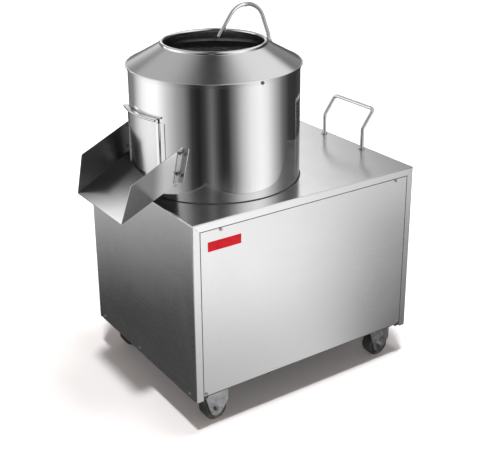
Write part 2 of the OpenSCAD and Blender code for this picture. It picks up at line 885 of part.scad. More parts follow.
// The outlet's cut through a wall of the drum, with a margin all round
module outlet_cut(margin) {
    margin_angle = margin / drum_r * 180 / PI;
    arc_bar(
        liner_in - 5, drum_r + 5,
        outlet_low - margin, outlet_low + outlet_h + margin,
        -outlet_half - margin_angle, outlet_half + margin_angle
    );
}

module drum_shell() {
    color("lightgray") difference() {
        at_drum() tube(drum_in, drum_r, 0, drum_h);
        at_outlet() outlet_cut(0);
        at_drum() for (a = rim_screw_angles)
            rotate([0, 0, a]) translate([drum_in - over, 0, rim_screw_z])
                rotate([0, 90, 0]) cylinder(r = screw_r + hole_fit, h = sheet + 2 * over);
    }
}

module drum_floor() {
    at_drum() color("silver") difference() {
        cylinder(r = drum_in - seat_fit, h = floor_t);
        translate([0, 0, -over]) cylinder(r = housing_r + 0.3, h = floor_t + 2 * over);
        translate([0, drain_out, -over]) cylinder(r = drain_r + 0.2, h = floor_t + 2 * over);
    }
}

module drum_liner() {
    color("darkslategray") difference() {
        at_drum() tube(liner_in, liner_out, liner_low, liner_high);
        at_outlet() outlet_cut(2);
    }
}

// The cone's sheet with its skirt and overhanging edge, as a section
module cone_section() {
    polygon([
        [skirt_in, drum_h - skirt_h],
        [skirt_out, drum_h - skirt_h],
        [skirt_out, drum_h - cone_t * cone_slope],
        [drip_out, drum_h - (drip_out - skirt_in) * cone_slope],
        [drip_out, drum_h + cone_rise - (drip_out - skirt_in) * cone_slope],
        [ring_r + 1, drum_h + cone_rise + (skirt_in - ring_r - 1) * cone_slope],
        [ring_r + 1, drum_h + (skirt_in - ring_r - 1) * cone_slope],
        [skirt_in, drum_h]
    ]);
}

module cone_cover() {
    at_drum() color("darkgray") difference() {
        rotate_extrude() cone_section();
        for (a = rim_screw_angles)
            rotate([0, 0, a]) translate([skirt_in - over, 0, rim_screw_z])
                rotate([0, 90, 0]) cylinder(r = screw_r + hole_fit, h = cone_t + 2 * over);
    }
}

module feed_ring() {
    at_drum() color("white") rotate_extrude() difference() {
        translate([ring_r, ring_z]) circle(r = ring_rod);
        cone_section();
    }
}

// ---- Outlet door and its guides ----------------------------------------------

// Section of the door: a leaf whose top is folded out into a rolled grip
module door_section() {
    top = door_low + door_h;
    translate([door_in, door_low]) square([door_t, door_h - door_fold]);
    translate([door_in + door_fold, top - door_fold]) intersection() {
        difference() {
            circle(r = door_fold);
            circle(r = door_fold - door_t);
        }
        translate([-door_fold, 0]) square([door_fold, door_fold]);
    }
    translate([door_in + door_fold, top - door_t]) square([grip_w - door_fold, door_t]);
    translate([door_in + grip_w, top - grip_roll]) circle(r = grip_roll);
}

module outlet_door() {
    at_outlet() color("gainsboro")
        rotate_extrude(angle = 2 * door_half, start = -door_half) door_section();
}

module door_guide() {
    leaf_low = floor_z(drum_r * cos(guide_leaf_end)) + floor_drop + 0.5;
    arc_bar(
        drum_r, drum_r + guide_t, max(guide_low, leaf_low), guide_high, guide_web, guide_leaf_end
    );
    arc_bar(drum_r, guide_lip_out, guide_low, guide_high, guide_web, guide_web_end);
    arc_bar(guide_lip_in, guide_lip_out, guide_low, guide_high, guide_lip, guide_web_end);
    arc_bar(drum_r, guide_lip_out, guide_low, door_low, guide_lip, guide_web_end);
}

module door_guides() {
    at_outlet() color("silver") {
        door_guide();
        mirror([0, 1, 0]) door_guide();
    }
}

// ---- Chute ----------------------------------------------------------------------

// Side view of a chute wall, spread across the chute's whole width
module wall_outline(low, high) {
    translate([0, high, 0]) rotate([90, 0, 0]) linear_extrude(high - low) polygon([
        [chute_reach, chute_lip_z],
        [wall_top_reach, wall_top_z],
        [wall_from, wall_high_z(wall_from)],
        [wall_from, wall_low_z(wall_from)]
    ]);
}

module chute_wall(side) {
    intersection() {
        at_outlet() wall_outline(-200, 200);
        at_chute_wall(side) translate([-200, 0, -60]) cube([260, sheet, 300]);
    }
}

module chute_floor() {
    inner_half = chute_lip_half + floor_spread * (chute_reach - wall_from) + 0.5;
    at_outlet() intersection() {
        translate([0, 200, 0]) rotate([90, 0, 0]) linear_extrude(400) polygon([
            [chute_reach, chute_lip_z],
            [chute_reach, chute_lip_z + floor_drop],
            [wall_from, floor_z(wall_from) + floor_drop],
            [wall_from, floor_z(wall_from)]
        ]);
        translate([0, 0, chute_lip_z - 10]) linear_extrude(200) polygon([
            [chute_reach, chute_lip_half + 0.5],
            [wall_from, inner_half],
            [wall_from, -inner_half],
            [chute_reach, -chute_lip_half - 0.5]
        ]);
    }
}

module chute() {
    color("whitesmoke") difference() {
        union() {
            chute_floor();
            chute_wall(1);
            chute_wall(-1);
        }
        at_drum() translate([0, 0, -50]) cylinder(r = drum_r + 0.2, h = 300);
        chute_bolt_points() cylinder(r = bolt_r + hole_fit, h = 12, center = true);
    }
}

// The bolts through the chute's walls: the z axis points out of the chute
module chute_bolt_points() {
    bolt_out = drum_r + bracket_t + 5.6;
    for (side = [-1, 1], z = bolt_z) {
        w = wall_w(185, z);
        d = sqrt(bolt_out * bolt_out - w * w);
        at_outlet() mirror([0, side < 0 ? 1 : 0, 0]) translate([d, wall_w(d, z), z])
            rotate([wall_roll, 0, wall_yaw]) rotate([-90, 0, 0]) children();
    }
}

// The studs on the drum: the z axis points out from the drum
module drum_stud_points() {
    for (side = [-1, 1], z = stud_z) {
        w = wall_w(185, z) + sheet + bracket_t + 5.5;
        at_outlet() rotate([0, 0, side * asin(w / (drum_r + bracket_t))])
            translate([drum_r, 0, z]) rotate([0, 90, 0]) children();
    }
}

module chute_bracket(side) {
    difference() {
        union() {
            intersection() {
                at_outlet() tube(drum_r, drum_r + bracket_t, bracket_low, bracket_high);
                at_chute_wall(side) translate([-200, sheet, -60]) cube([260, leaf_w, 300]);
            }
            intersection() {
                at_outlet()
                    tube(drum_r, drum_r + chute_leaf_w, bracket_low, bracket_high - 5);
                at_chute_wall(side) translate([-200, sheet, -60]) cube([260, bracket_t, 300]);
            }
        }
        at_outlet() wall_side_cut(side);
        chute_bolt_points() cylinder(r = bolt_r + hole_fit, h = 20, center = true);
        drum_stud_points() cylinder(r = bolt_r + hole_fit, h = 20, center = true);
    }
}

// Clears the half of the drum that belongs to the other wall
module wall_side_cut(side) {
    translate([-300, side > 0 ? -400 : 0, -50]) cube([300 + 600, 400, 300]);
    translate([-400, -400, -50]) cube([400, 800, 300]);
}

module chute_brackets() {
    color("silver") {
        chute_bracket(1);
        chute_bracket(-1);
    }
}

module chute_bolts() {
    color("gray") {
        chute_bolt_points() {
            translate([0, 0, sheet + bracket_t]) hexagon(bolt_af, 3.2);
            translate([0, 0, -4]) cylinder(r = bolt_r, h = sheet + bracket_t + 8);
            translate([0, 0, -3.2]) hexagon(bolt_af, 3.2);
        }
        drum_stud_points() {
            cylinder(r = bolt_r, h = bracket_t + 2);
            translate([0, 0, bracket_t + 0.05]) hexagon(bolt_af, 3.2);
            translate([0, 0, bracket_t + 3.2]) cylinder(r1 = 3.2, r2 = 1.4, h = 1.8);
        }
    }
}

// ---- Disc and drive ------------------------------------------------------------

module abrasive_disc() {
    hump_r = 40;
    at_drum() color("dimgray") difference() {
        union() {
            translate([0, 0, disc_low]) cylinder(r = disc_r, h = disc_t - 2);
            translate([0, 0, disc_top - 2]) cylinder(r1 = disc_r, r2 = disc_r - 2, h = 2);
            translate([0, 0, hub_low]) cylinder(r = hub_r, h = disc_low - hub_low + over);
            tube(housing_r + 5, housing_r + 9, hub_low, disc_low + over);
            for (a = [90, 210, 330]) rotate([0, 0, a]) intersection() {
                translate([58, 0, disc_top + hump_h - hump_r]) rotate([0, 90, 0])
                    cylinder(r = hump_r, h = disc_r);
                tube(50, disc_r - 8, disc_low + over, disc_top + hump_h);
            }
            for (a = [0, 180]) rotate([0, 0, a])
                translate([housing_r + 20, -2, 12])
                    cube([disc_r - 20 - housing_r - 20, 4, disc_low - 12 + over]);
        }
        translate([0, 0, hub_low - over])
            cylinder(r = shaft_neck_r + seat_fit, h = disc_top - hub_low + hump_h + 2 * over);
    }
}

module disc_nut() {
    at_drum() color("lightgray") difference() {
        union() {
            translate([0, 0, disc_top]) cylinder(r = 20, h = 2);
            translate([0, 0, disc_top + 2]) hexagon(nut_af, 14);
            translate([0, 0, disc_top + 16]) intersection() {
                translate([0, 0, -3]) sphere(r = nut_af / 2 - 0.5);
                cylinder(r = nut_af / 2, h = nut_af / 2);
            }
        }
        translate([0, 0, disc_top - over])
            cylinder(r = shaft_thread_r + seat_fit, h = shaft_top - disc_top + over + 0.5);
    }
}

module main_shaft() {
    at_drum() color("silver") {
        translate([0, 0, shaft_low]) cylinder(r = shaft_r, h = hub_low - shaft_low);
        translate([0, 0, hub_low - over])
            cylinder(r = shaft_neck_r, h = disc_top - hub_low + over - 0.5);
        translate([0, 0, disc_top - over]) cylinder(r = shaft_thread_r, h = shaft_top - disc_top + over);
    }
}

module bearing_housing() {
    at_drum() color("slategray") difference() {
        union() {
            tube(shaft_r + 5, housing_r, housing_low, spigot_top);
            tube(housing_r - over, flange_r, support_low - flange_t, support_low);
        }
        translate([0, 0, housing_low - over])
            cylinder(r = bearing_r, h = upper_bearing_top - housing_low + over);
        translate([0, 0, seal_low]) cylinder(r = bearing_r, h = spigot_top - seal_low + over);
        translate([0, 0, support_low])
            housing_bolt_points() cylinder(r = 4 + hole_fit, h = 40, center = true);
    }
}

// A ball bearing with a shallow groove on each face between its rings
module ball_bearing(z0) {
    at_drum() color("lightsteelblue") difference() {
        tube(shaft_r + shaft_fit, bearing_r - seat_fit, z0, z0 + bearing_w);
        for (z = [z0 - over, z0 + bearing_w - over])
            tube(shaft_r + 4, bearing_r - 4, z, z + 2 * over);
    }
}

module upper_bearing() {
    ball_bearing(upper_bearing_top - bearing_w);
}

module lower_bearing() {
    ball_bearing(lower_bearing_low);
}

module shaft_seal() {
    at_drum() color("black") {
        tube(shaft_r + 6, bearing_r - seat_fit, seal_low, seal_low + seal_h);
        tube(shaft_r + 0.08, shaft_r + 7, seal_low, seal_low + 2.5);
    }
}

// Section of the belt, from its pitch line at x = 0
module belt_section(fit) {
    polygon([
        [belt_above + fit, -belt_top_half - fit],
        [belt_above + fit, belt_top_half + fit],
        [-belt_below - fit, belt_low_half + fit],
        [-belt_below - fit, -belt_low_half - fit]
    ]);
}

// A grooved pulley with a web, a hub and its bore
module belt_pulley(pitch, hub, bore) {
    rotate_extrude() difference() {
        union() {
            translate([bore, -pulley_w / 2]) square([pitch + 4 - bore, pulley_w]);
            translate([bore, -pulley_w / 2 - 4]) square([hub - bore, pulley_w + 8]);
        }
        translate([pitch, 0]) belt_section(belt_fit);
        translate([pitch + belt_above, -belt_top_half - belt_fit])
            square([5, 2 * (belt_top_half + belt_fit)]);
        if (pitch > 80)
            for (s = [-1, 1]) translate([hub, s * (pulley_w / 2 + 4) - 8])
                square([pitch - 16 - hub, 16]);
    }
}

module drive_pulley() {
    at_drum() color("gray") translate([0, 0, belt_level]) difference() {
        belt_pulley(pulley_pitch, 30, shaft_r + seat_fit);
        for (a = [0 : 60 : 300]) rotate([0, 0, a]) translate([76, 0, -pulley_w])
            cylinder(r = 20, h = 2 * pulley_w);
    }
}

module motor_pulley() {
    at_motor() color("gray") translate([0, 0, belt_z])
        belt_pulley(motor_pulley_pitch, 20, motor_shaft_r + seat_fit);
}

module v_belt() {
    wrap_big = 180 + 2 * belt_tilt;
    wrap_small = 180 - 2 * belt_tilt;
    at_drum() color("black") translate([0, 0, belt_level]) {
        rotate_extrude(angle = wrap_big, start = 90 - belt_tilt)
            translate([pulley_pitch, 0]) belt_section(0);
        translate([shaft_distance, 0, 0])
            rotate_extrude(angle = wrap_small, start = -90 + belt_tilt)
                translate([motor_pulley_pitch, 0]) belt_section(0);
        for (s = [-1, 1]) mirror([0, s < 0 ? 1 : 0, 0])
            rotate([0, 0, 90 - belt_tilt]) translate([pulley_pitch, 0, 0])
                rotate([90, 0, 0]) {
                    linear_extrude(belt_run) belt_section(0);
                    for (z = [-0.5, belt_run - 0.5])
                        translate([0, 0, z]) linear_extrude(1) belt_section(0.04);
                }
    }
}

module motor_rotor() {
    at_motor() color("silver") {
        translate([0, 0, belt_z - 18])
            cylinder(r = motor_shaft_r, h = motor_top + 30 - belt_z + 18);
        translate([0, 0, motor_z + motor_flange_t + 38]) cylinder(r = 38, h = motor_l - 76);
    }
}

module motor_body() {
    low = motor_z + motor_flange_t;
    at_motor() color("cadetblue") difference() {
        union() {
            translate([0, 0, motor_z]) cylinder(r = motor_flange_r, h = motor_flange_t);
            translate([0, 0, low]) cylinder(r = motor_r, h = motor_l);
            for (a = [-45 : 15 : 225]) rotate([0, 0, a])
                translate([motor_r - 3, -1.25, low + 14]) cube([9, 2.5, motor_l - 34]);
        }
        translate([0, 0, low + 12]) cylinder(r = 58, h = 20);
        translate([0, 0, low + motor_l - 32]) cylinder(r = 58, h = 20);
        translate([0, 0, low + 12]) cylinder(r = 38.6, h = motor_l - 24);
        translate([0, 0, motor_z - over])
            cylinder(r = motor_shaft_r + shaft_fit, h = motor_top - motor_z + 2 * over);
        motor_bolt_holes();
        for (a = [90]) rotate([0, 0, a])
            translate([motor_r + 1.5, -30, low + 10]) cube([20, 60, motor_l]);
    }
}

module motor_bolt_holes() {
    translate([0, 0, motor_z])
        motor_bolt_points() cylinder(r = 3 + hole_fit, h = 40, center = true);
}

module motor_fan() {
    at_motor() color("darkslategray") difference() {
        union() {
            translate([0, 0, motor_top + 4]) cylinder(r = 20, h = 20);
            translate([0, 0, motor_top + 4]) cylinder(r = 58, h = 2.5);
            for (a = [0 : 45 : 315]) rotate([0, 0, a])
                translate([15, -1.25, motor_top + 4]) cube([43, 2.5, 20]);
        }
        translate([0, 0, motor_top])
            cylinder(r = motor_shaft_r + seat_fit, h = 30);
    }
}

module motor_fan_cover() {
    cover_h = 38;
    at_motor() color("steelblue") difference() {
        translate([0, 0, motor_top - 12]) cylinder(r = motor_r + 2, h = cover_h + 12);
        translate([0, 0, motor_top - 12 - over]) cylinder(r = motor_r + 0.2, h = cover_h + 11.5);
        for (a = [0 : 30 : 330]) rotate([0, 0, a])
            translate([24, -3, motor_top + cover_h - 6]) cube([34, 6, 12]);
    }
}

module terminal_box() {
    box_x = 90;
    box_z = 70;
    at_motor() color("dimgray") difference() {
        translate([-box_x / 2, -motor_r - 42, motor_z + 50]) cube([box_x, 60, box_z]);
        cylinder(r = motor_r + seat_fit, h = cab_h);
    }
}

module run_capacitor() {
    can_r = 22;
    at_motor() color("lightgray")
        translate([0, motor_r + 1.6 + can_r, motor_z + motor_flange_t + 20]) {
            cylinder(r = can_r, h = 100);
            translate([0, 0, 100]) cylinder(r1 = can_r - 2, r2 = can_r - 6, h = 4);
            translate([-can_r - 2, -can_r, 30]) difference() {
                cube([2 * can_r + 4, can_r + 4, 12]);
                translate([can_r + 2, can_r, -over]) cylinder(r = can_r - 1, h = 14);
            }
        }
}

// ---- Water and drain ------------------------------------------------------------

// The water pipe's foot on the drum's side, +X pointing out from the drum
module at_water() {
    at_drum() rotate([0, 0, water_angle]) translate([pipe_from_axis, 0, 0]) children();
}

module supply_path(r) {
    translate([0, inlet_l, pipe_low]) rotate([90, 0, 0]) rotate([0, 0, -90])
        straight_then(inlet_l - inlet_bend, r)
            mirror([1, 0, 0]) bend_then(inlet_bend, 90, r)
                straight_then(pipe_high - pipe_low - inlet_bend, r);
}

module supply_pipe() {
    at_water() rotate([0, 0, -water_angle]) color("silver") difference() {
        supply_path(pipe_r);
        supply_path(pipe_r - pipe_wall);
        translate([0, inlet_l + over / 2, pipe_low]) rotate([90, 0, 0])
            cylinder(r = pipe_r - pipe_wall, h = over);
    }
}

module pipe_clips() {
    color("gray") for (z = clip_z) difference() {
        union() {
            at_drum() arc_bar(
                drum_r, drum_r + 1.5, z, z + clip_w, water_angle - 5, water_angle + 5
            );
            at_water() translate([-pipe_out + 1, -3, z])
                cube([pipe_out - pipe_r, 6, clip_w]);
            at_water() tube(pipe_r, pipe_r + 1.5, z, z + clip_w);
        }
        at_water() translate([0, 0, z - over]) cylinder(r = pipe_r + seat_fit, h = clip_w + 2 * over);
        at_drum() cylinder(r = drum_r, h = drum_h);
    }
}

// The gooseneck leaves the pipe upwards and arches over the drum towards -X
module at_gooseneck() {
    at_water() rotate([0, 0, -water_angle]) translate([0, 0, union_top])
        rotate([0, 0, 180]) children();
}

module gooseneck() {
    color("darkgray") difference() {
        union() {
            at_gooseneck() bend_then(goose_start_bend, goose_lean, goose_r)
                straight_then(goose_rise, goose_r)
                    bend_then(goose_bend, 90 - goose_lean, goose_r)
                        cylinder(r = goose_r + 0.8, h = goose_fitting);
            at_gooseneck() translate([0, 0, -14]) hexagon(16, 14);
            at_gooseneck() cylinder(r = 7.5, h = 5);
        }
        at_gooseneck() translate([0, 0, -14 - over]) cylinder(r = pipe_r + seat_fit, h = 3 + over);
    }
}

module nozzle() {
    color("lightgray") difference() {
        at_nozzle() bend_then(goose_bend, 90 - nozzle_lean, pipe_r - 0.5)
            straight_then(nozzle_l, pipe_r - 0.5);
        at_nozzle() at_nozzle_end() translate([0, 0, nozzle_l - 20])
            cylinder(r = pipe_r - 1.6, h = 20 + over);
    }
}

// Just past the end fitting of the gooseneck
module at_nozzle() {
    at_gooseneck() at_bend_end(goose_start_bend, goose_lean)
        translate([0, 0, goose_rise])
            at_bend_end(goose_bend, 90 - goose_lean)
                translate([0, 0, goose_fitting + seam_l / 2]) children();
}

module at_nozzle_end() {
    at_bend_end(goose_bend, 90 - nozzle_lean) children();
}

module at_bend_end(bend_r, angle) {
    translate([bend_r * (1 - cos(angle)), 0, bend_r * sin(angle)])
        rotate([0, angle, 0]) children();
}

// Drain: down from the drum's floor, then out through the rear panel
module drain_path(r, extra) {
    drop = cab_h + floor_t - drain_z - drain_bend;
    reach = cab_d + drain_stub - drain_y - drain_bend;
    translate([drum_x, drain_y, cab_h + floor_t + extra]) rotate([180, 0, 0]) rotate([0, 0, -90])
        straight_then(drop + extra, r)
            bend_then(drain_bend, 90, r)
                straight_then(reach + extra, r);
}

module drain_pipe() {
    at_cabinet() color("gray") difference() {
        union() {
            drain_path(drain_r, 0);
            translate([drum_x, drain_y, cab_h + support_low - 3]) cylinder(r = drain_r + 8, h = 3);
            translate([drum_x, cab_d - drain_bead_back, drain_z]) rotate([90, 0, 0])
                cylinder(r = drain_r + 2.5, h = drain_bead_w);
        }
        drain_path(drain_r - drain_wall, over);
    }
}

// ---- Buttons, gland and handle -------------------------------------------------

module at_button(i) {
    at_cabinet() translate([cab_w, button_y + i * button_pitch, button_z])
        rotate([0, 90, 0]) children();
}

module button_cap(proud) {
    translate([0, 0, -cap_depth]) cylinder(r = button_r, h = cap_depth + bezel_h + proud - 1);
    translate([0, 0, bezel_h + proud - 1]) cylinder(r1 = button_r, r2 = button_r - 1, h = 1);
}

module start_button() {
    color("green") at_button(0) button_cap(2);
}

module stop_button() {
    color("red") at_button(1) button_cap(6);
}

module button_bodies() {
    block = 32;
    color("black") for (i = [0, 1]) at_button(i) difference() {
        union() {
            cylinder(r1 = bezel_r, r2 = bezel_r - 1.5, h = bezel_h);
            translate([0, 0, -30]) cylinder(r = barrel_r, h = 30 + over);
            translate([0, 0, -sheet - 6]) cylinder(r = bezel_r, h = 6);
            translate([-block / 2, -block / 2, -60]) cube([block, block, 32]);
        }
        translate([0, 0, -cap_bore]) cylinder(r = button_r + button_fit, h = cap_bore + bezel_h + over);
    }
}

module cable_gland() {
    at_cabinet() color("black") translate([gland_x, cab_d, gland_z]) rotate([-90, 0, 0])
        difference() {
            union() {
                hexagon(24, 8);
                translate([0, 0, 8]) cylinder(r1 = 11, r2 = 7.5, h = 14);
                translate([0, 0, -14]) cylinder(r = gland_thread, h = 15);
                translate([0, 0, -sheet - 5]) hexagon(22, 5);
            }
            translate([0, 0, -14 - over]) cylinder(r = gland_bore, h = 36 + 2 * over);
        }
}

// Half of the handle: a cranked leg, a corner and half of the bar
module half_handle() {
    translate([0, -handle_span / 2, -handle_tail])
        straight_then(handle_tail + handle_low - crank_tangent, handle_r)
            bend_then(handle_bend, crank_angle, handle_r)
                straight_then(crank_len - crank_tangent - handle_bend, handle_r)
                    rotate([0, 0, 90]) bend_then(handle_bend, 90, handle_r)
                        cylinder(r = handle_r, h = handle_span / 2 - handle_bend);
}

module push_handle() {
    at_cabinet() color("white") translate([handle_x, handle_y, cab_h]) {
        half_handle();
        mirror([0, 1, 0]) half_handle();
        translate([handle_crank, 0, handle_low + handle_up]) rotate([90, 0, 0])
            rod_seam(handle_r);
    }
}

module handle_nuts() {
    low = -(frame_in + angle_t);
    at_cabinet() color("silver") for (s = [-1, 1])
        translate([handle_x, handle_y + s * handle_span / 2, cab_h]) difference() {
            union() {
                cylinder(r = 8.5, h = 1.5);
                translate([0, 0, 1.5]) cylinder(r1 = 7, r2 = 6, h = 3);
                translate([0, 0, low - 8]) hexagon(17, 8);
            }
            translate([0, 0, low - 10]) cylinder(r = handle_r + seat_fit, h = 30);
        }
}

cabinet_top();
left_side_panel();
right_side_panel();
front_panel();
rear_panel();
base_plate();
inner_frame();
drum_support_plate();
motor_plate();
cover_screws();
frame_bolts();
nameplate();
castor_fork(0, 0);  // castor_fork_front_left
castor_fork(1, 0);  // castor_fork_front_right
castor_fork(0, 1);  // castor_fork_rear_left
castor_fork(1, 1);  // castor_fork_rear_right
castor_wheel(0, 0);  // castor_wheel_front_left
castor_wheel(1, 0);  // castor_wheel_front_right
castor_wheel(0, 1);  // castor_wheel_rear_left
castor_wheel(1, 1);  // castor_wheel_rear_right
castor_axles();
drum_shell();
drum_floor();
drum_liner();
cone_cover();
feed_ring();
outlet_door();
door_guides();
chute();
chute_brackets();
chute_bolts();
abrasive_disc();
disc_nut();
main_shaft();
bearing_housing();
upper_bearing();
lower_bearing();
shaft_seal();
drive_pulley();
v_belt();
motor_pulley();
motor_rotor();
motor_fan();
motor_body();
motor_fan_cover();
terminal_box();
run_capacitor();
supply_pipe();
pipe_clips();
gooseneck();
nozzle();
drain_pipe();
start_button();
stop_button();
button_bodies();
cable_gland();
push_handle();
handle_nuts();
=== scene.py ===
# %% [markdown]
# # Electric potato peeler
# The machine is a steel drum with a turning abrasive disc, on a cabinet of
# satin sheet that hides a motor and a belt. This lesson dresses its exact CAD
# model: first a camera, a room, a floor and lamps, then one finish after the
# other, and last the small pieces that are easier to model here than in CAD.

import json
import math

import bpy
from mathutils import Matrix, Vector

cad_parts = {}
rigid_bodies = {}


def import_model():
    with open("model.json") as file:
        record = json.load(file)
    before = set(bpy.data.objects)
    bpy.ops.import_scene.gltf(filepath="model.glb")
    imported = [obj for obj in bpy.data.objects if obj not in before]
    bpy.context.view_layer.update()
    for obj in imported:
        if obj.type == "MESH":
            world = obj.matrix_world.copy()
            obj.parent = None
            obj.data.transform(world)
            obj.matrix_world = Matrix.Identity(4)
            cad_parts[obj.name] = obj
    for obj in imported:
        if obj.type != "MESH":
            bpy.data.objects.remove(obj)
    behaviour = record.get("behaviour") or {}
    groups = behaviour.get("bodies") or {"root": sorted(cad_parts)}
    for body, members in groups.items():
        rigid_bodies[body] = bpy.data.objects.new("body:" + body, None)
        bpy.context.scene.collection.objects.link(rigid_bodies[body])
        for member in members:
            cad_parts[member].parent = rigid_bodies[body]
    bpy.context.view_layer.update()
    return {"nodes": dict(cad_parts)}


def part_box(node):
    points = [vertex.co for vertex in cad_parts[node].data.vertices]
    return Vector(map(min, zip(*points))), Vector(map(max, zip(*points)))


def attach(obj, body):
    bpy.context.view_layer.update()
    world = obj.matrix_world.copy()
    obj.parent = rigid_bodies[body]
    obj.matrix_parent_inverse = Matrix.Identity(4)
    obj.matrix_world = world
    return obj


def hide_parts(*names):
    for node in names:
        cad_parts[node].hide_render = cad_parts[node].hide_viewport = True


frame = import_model()

# %% [markdown]
# ## Selection
# An operator acts on all that is selected, and the loader leaves the CAD nodes
# selected. Everything is deselected once here and again before each piece.

# %% Start from an empty selection
def deselect_all():
    for other in bpy.context.view_layer.objects:
        other.select_set(False)


def select_only(piece):
    deselect_all()
    piece.select_set(True)
    bpy.context.view_layer.objects.active = piece


deselect_all()

# %% [markdown]
# ## Camera
# The machine is seen from the front left and a little above. A lens of about
# 70 mm keeps the cabinet's edges nearly parallel. The place and the turn are
# written as numbers, because they were worked out from the cabinet's corners.

# %% Camera
SENSOR_WIDTH, RENDER_WIDTH = 36, 500
camera_place = Vector((-1.2426, -1.9109, 1.3784))
camera_yaw = math.radians(34.101)
camera_pitch = math.radians(20.476)
camera_roll = math.radians(0.305)
lens_in_pixels = 956.1
shift_down = 0.128

camera_data = bpy.data.cameras.new("camera")
camera_data.sensor_width = SENSOR_WIDTH
camera_data.lens = SENSOR_WIDTH * lens_in_pixels / RENDER_WIDTH
camera_data.shift_y = -shift_down
camera = bpy.data.objects.new("camera", camera_data)
bpy.context.collection.objects.link(camera)
camera.location = camera_place
camera.rotation_euler = (
    Matrix.Rotation(-camera_yaw, 3, "Z")
    @ Matrix.Rotation(math.pi / 2 - camera_pitch, 3, "X")
    @ Matrix.Rotation(-camera_roll, 3, "Z")
).to_euler()
bpy.context.scene.camera = camera
bpy.context.scene.view_settings.view_transform = "Standard"
print("lens", round(camera_data.lens, 1), "mm")

# %% [markdown]
# ## Node helpers
# A material is a graph. These short helpers add a node, link its sockets and
# hand back its output, so that each finish below reads like a recipe.

# %% Node helpers
def add_node(tree, kind, **values):
    node = tree.nodes.new(kind)
    for name, value in values.items():
        setattr(node, name, value)
    return node


def feed(tree, socket, value):
    """Links a socket to another one, or sets it to a number or a colour."""
    if isinstance(value, bpy.types.NodeSocket):
        tree.links.new(value, socket)
    elif isinstance(value, (int, float)):
        socket.default_value = value
    else:
        socket.default_value = (*value, 1) if socket.type == "RGBA" else value


def set_inputs(node, **values):
    for name, value in values.items():
        node.inputs[name.replace("_", " ")].default_value = value


def math_node(tree, operation, *values, clamp=False):
    node = add_node(tree, "ShaderNodeMath", operation=operation, use_clamp=clamp)
    for socket, value in zip(node.inputs, values):
        feed(tree, socket, value)
    return node.outputs[0]


def vector_node(tree, operation, *values):
    node = add_node(tree, "ShaderNodeVectorMath", operation=operation)
    for socket, value in zip(node.inputs, values):
        feed(tree, socket, value)
    return node


def split(tree, vector):
    """The X, Y and Z of a vector, by name."""
    node = add_node(tree, "ShaderNodeSeparateXYZ")
    tree.links.new(vector, node.inputs[0])
    return node.outputs


def blend_range(tree, value, low, high, to_low=0.0, to_high=1.0):
    """Goes softly from one number to another while a value rises from low to high."""
    node = add_node(tree, "ShaderNodeMapRange", interpolation_type="SMOOTHSTEP", clamp=True)
    tree.links.new(value, node.inputs["Value"])
    for name, number in (
        ("From Min", low), ("From Max", high), ("To Min", to_low), ("To Max", to_high)
    ):
        node.inputs[name].default_value = number
    return node.outputs[0]


def grey_steps(tree, value, steps):
    """A grey that follows a value from 0 to 1, by steps of a place and a grey."""
    ramp = add_node(tree, "ShaderNodeValToRGB")
    tree.links.new(value, ramp.inputs[0])
    points = ramp.color_ramp.elements
    while len(points) < len(steps):
        points.new(0.5)
    for point, (place, grey) in zip(points, steps):
        point.position = place
        point.color = (grey, grey, grey, 1)
    return ramp.outputs[0]


def mix_colors(tree, factor, first, second, blend="MIX"):
    node = add_node(tree, "ShaderNodeMix", data_type="RGBA", blend_type=blend)
    for socket, value in (
        (node.inputs[0], factor), (node.inputs[6], first), (node.inputs[7], second)
    ):
        feed(tree, socket, value)
    return node.outputs[2]


def mix_shaders(tree, factor, first, second):
    node = add_node(tree, "ShaderNodeMixShader")
    for socket, value in zip(node.inputs, (factor, first, second)):
        feed(tree, socket, value)
    return node.outputs[0]


def object_place(tree):
    return add_node(tree, "ShaderNodeTexCoord").outputs["Object"]


def empty_material(name):
    material = bpy.data.materials.new(name)
    material.use_nodes = True
    material.node_tree.nodes.clear()
    return material, material.node_tree


def put_out(tree, shader, kind="ShaderNodeOutputMaterial"):
    tree.links.new(shader, add_node(tree, kind).inputs[0])


# %% [markdown]
# ## Room
# Polished steel shows the room more than itself, so the room is built for it:
# a bright panel to the left, a wider one to the right and dark gaps between
# them, as a studio sets up for metal. The backdrop is bright at the left and
# dark at the right, and it leans. Overhead it is dark, with a soft light at
# each side. Only glossy rays see all this. The camera sees plain white, and
# other rays get a dim, slightly warm light that fills the shadow on the floor.

# %% Room
world = bpy.data.worlds.new("studio")
bpy.context.scene.world = world
world.use_nodes = True
tree = world.node_tree
tree.nodes.clear()

AROUND_THE_ROOM = [
    (-180, 0.08), (-128, 0.22), (-105, 0.85), (-94, 1.0), (-76, 1.0), (-61, 0.6), (-47, 0.33),
    (-38, 0.22), (-28, 0.04), (-19, 0.012), (-11, 0.04), (-3, 0.15), (4, 0.05), (10, 0.018),
    (17, 0.03), (26, 0.2), (35, 0.5), (46, 0.77), (60, 0.92), (70, 0.82), (84, 0.44),
    (98, 0.14), (112, 0.04), (130, 0.03), (180, 0.08),
]
PANEL_LIGHT = 1.2
BACKDROP_LEAN = -0.6
FILL_LIGHT = (0.37, 0.33, 0.32)
WHITE = (1.0, 1.0, 1.0)


def room_angle(tree, vector):
    """The angle round the room, 0 behind the camera and positive to its right, as 0 to 1."""
    turned = add_node(tree, "ShaderNodeVectorRotate", rotation_type="Z_AXIS")
    tree.links.new(vector, turned.inputs["Vector"])
    turned.inputs["Angle"].default_value = camera_yaw
    parts = split(tree, turned.outputs[0])
    toward_camera = math_node(tree, "MULTIPLY", parts["Y"], -1.0)
    angle = math_node(tree, "ARCTAN2", parts["X"], toward_camera)
    return math_node(tree, "MULTIPLY_ADD", angle, 1 / (2 * math.pi), 0.5), parts


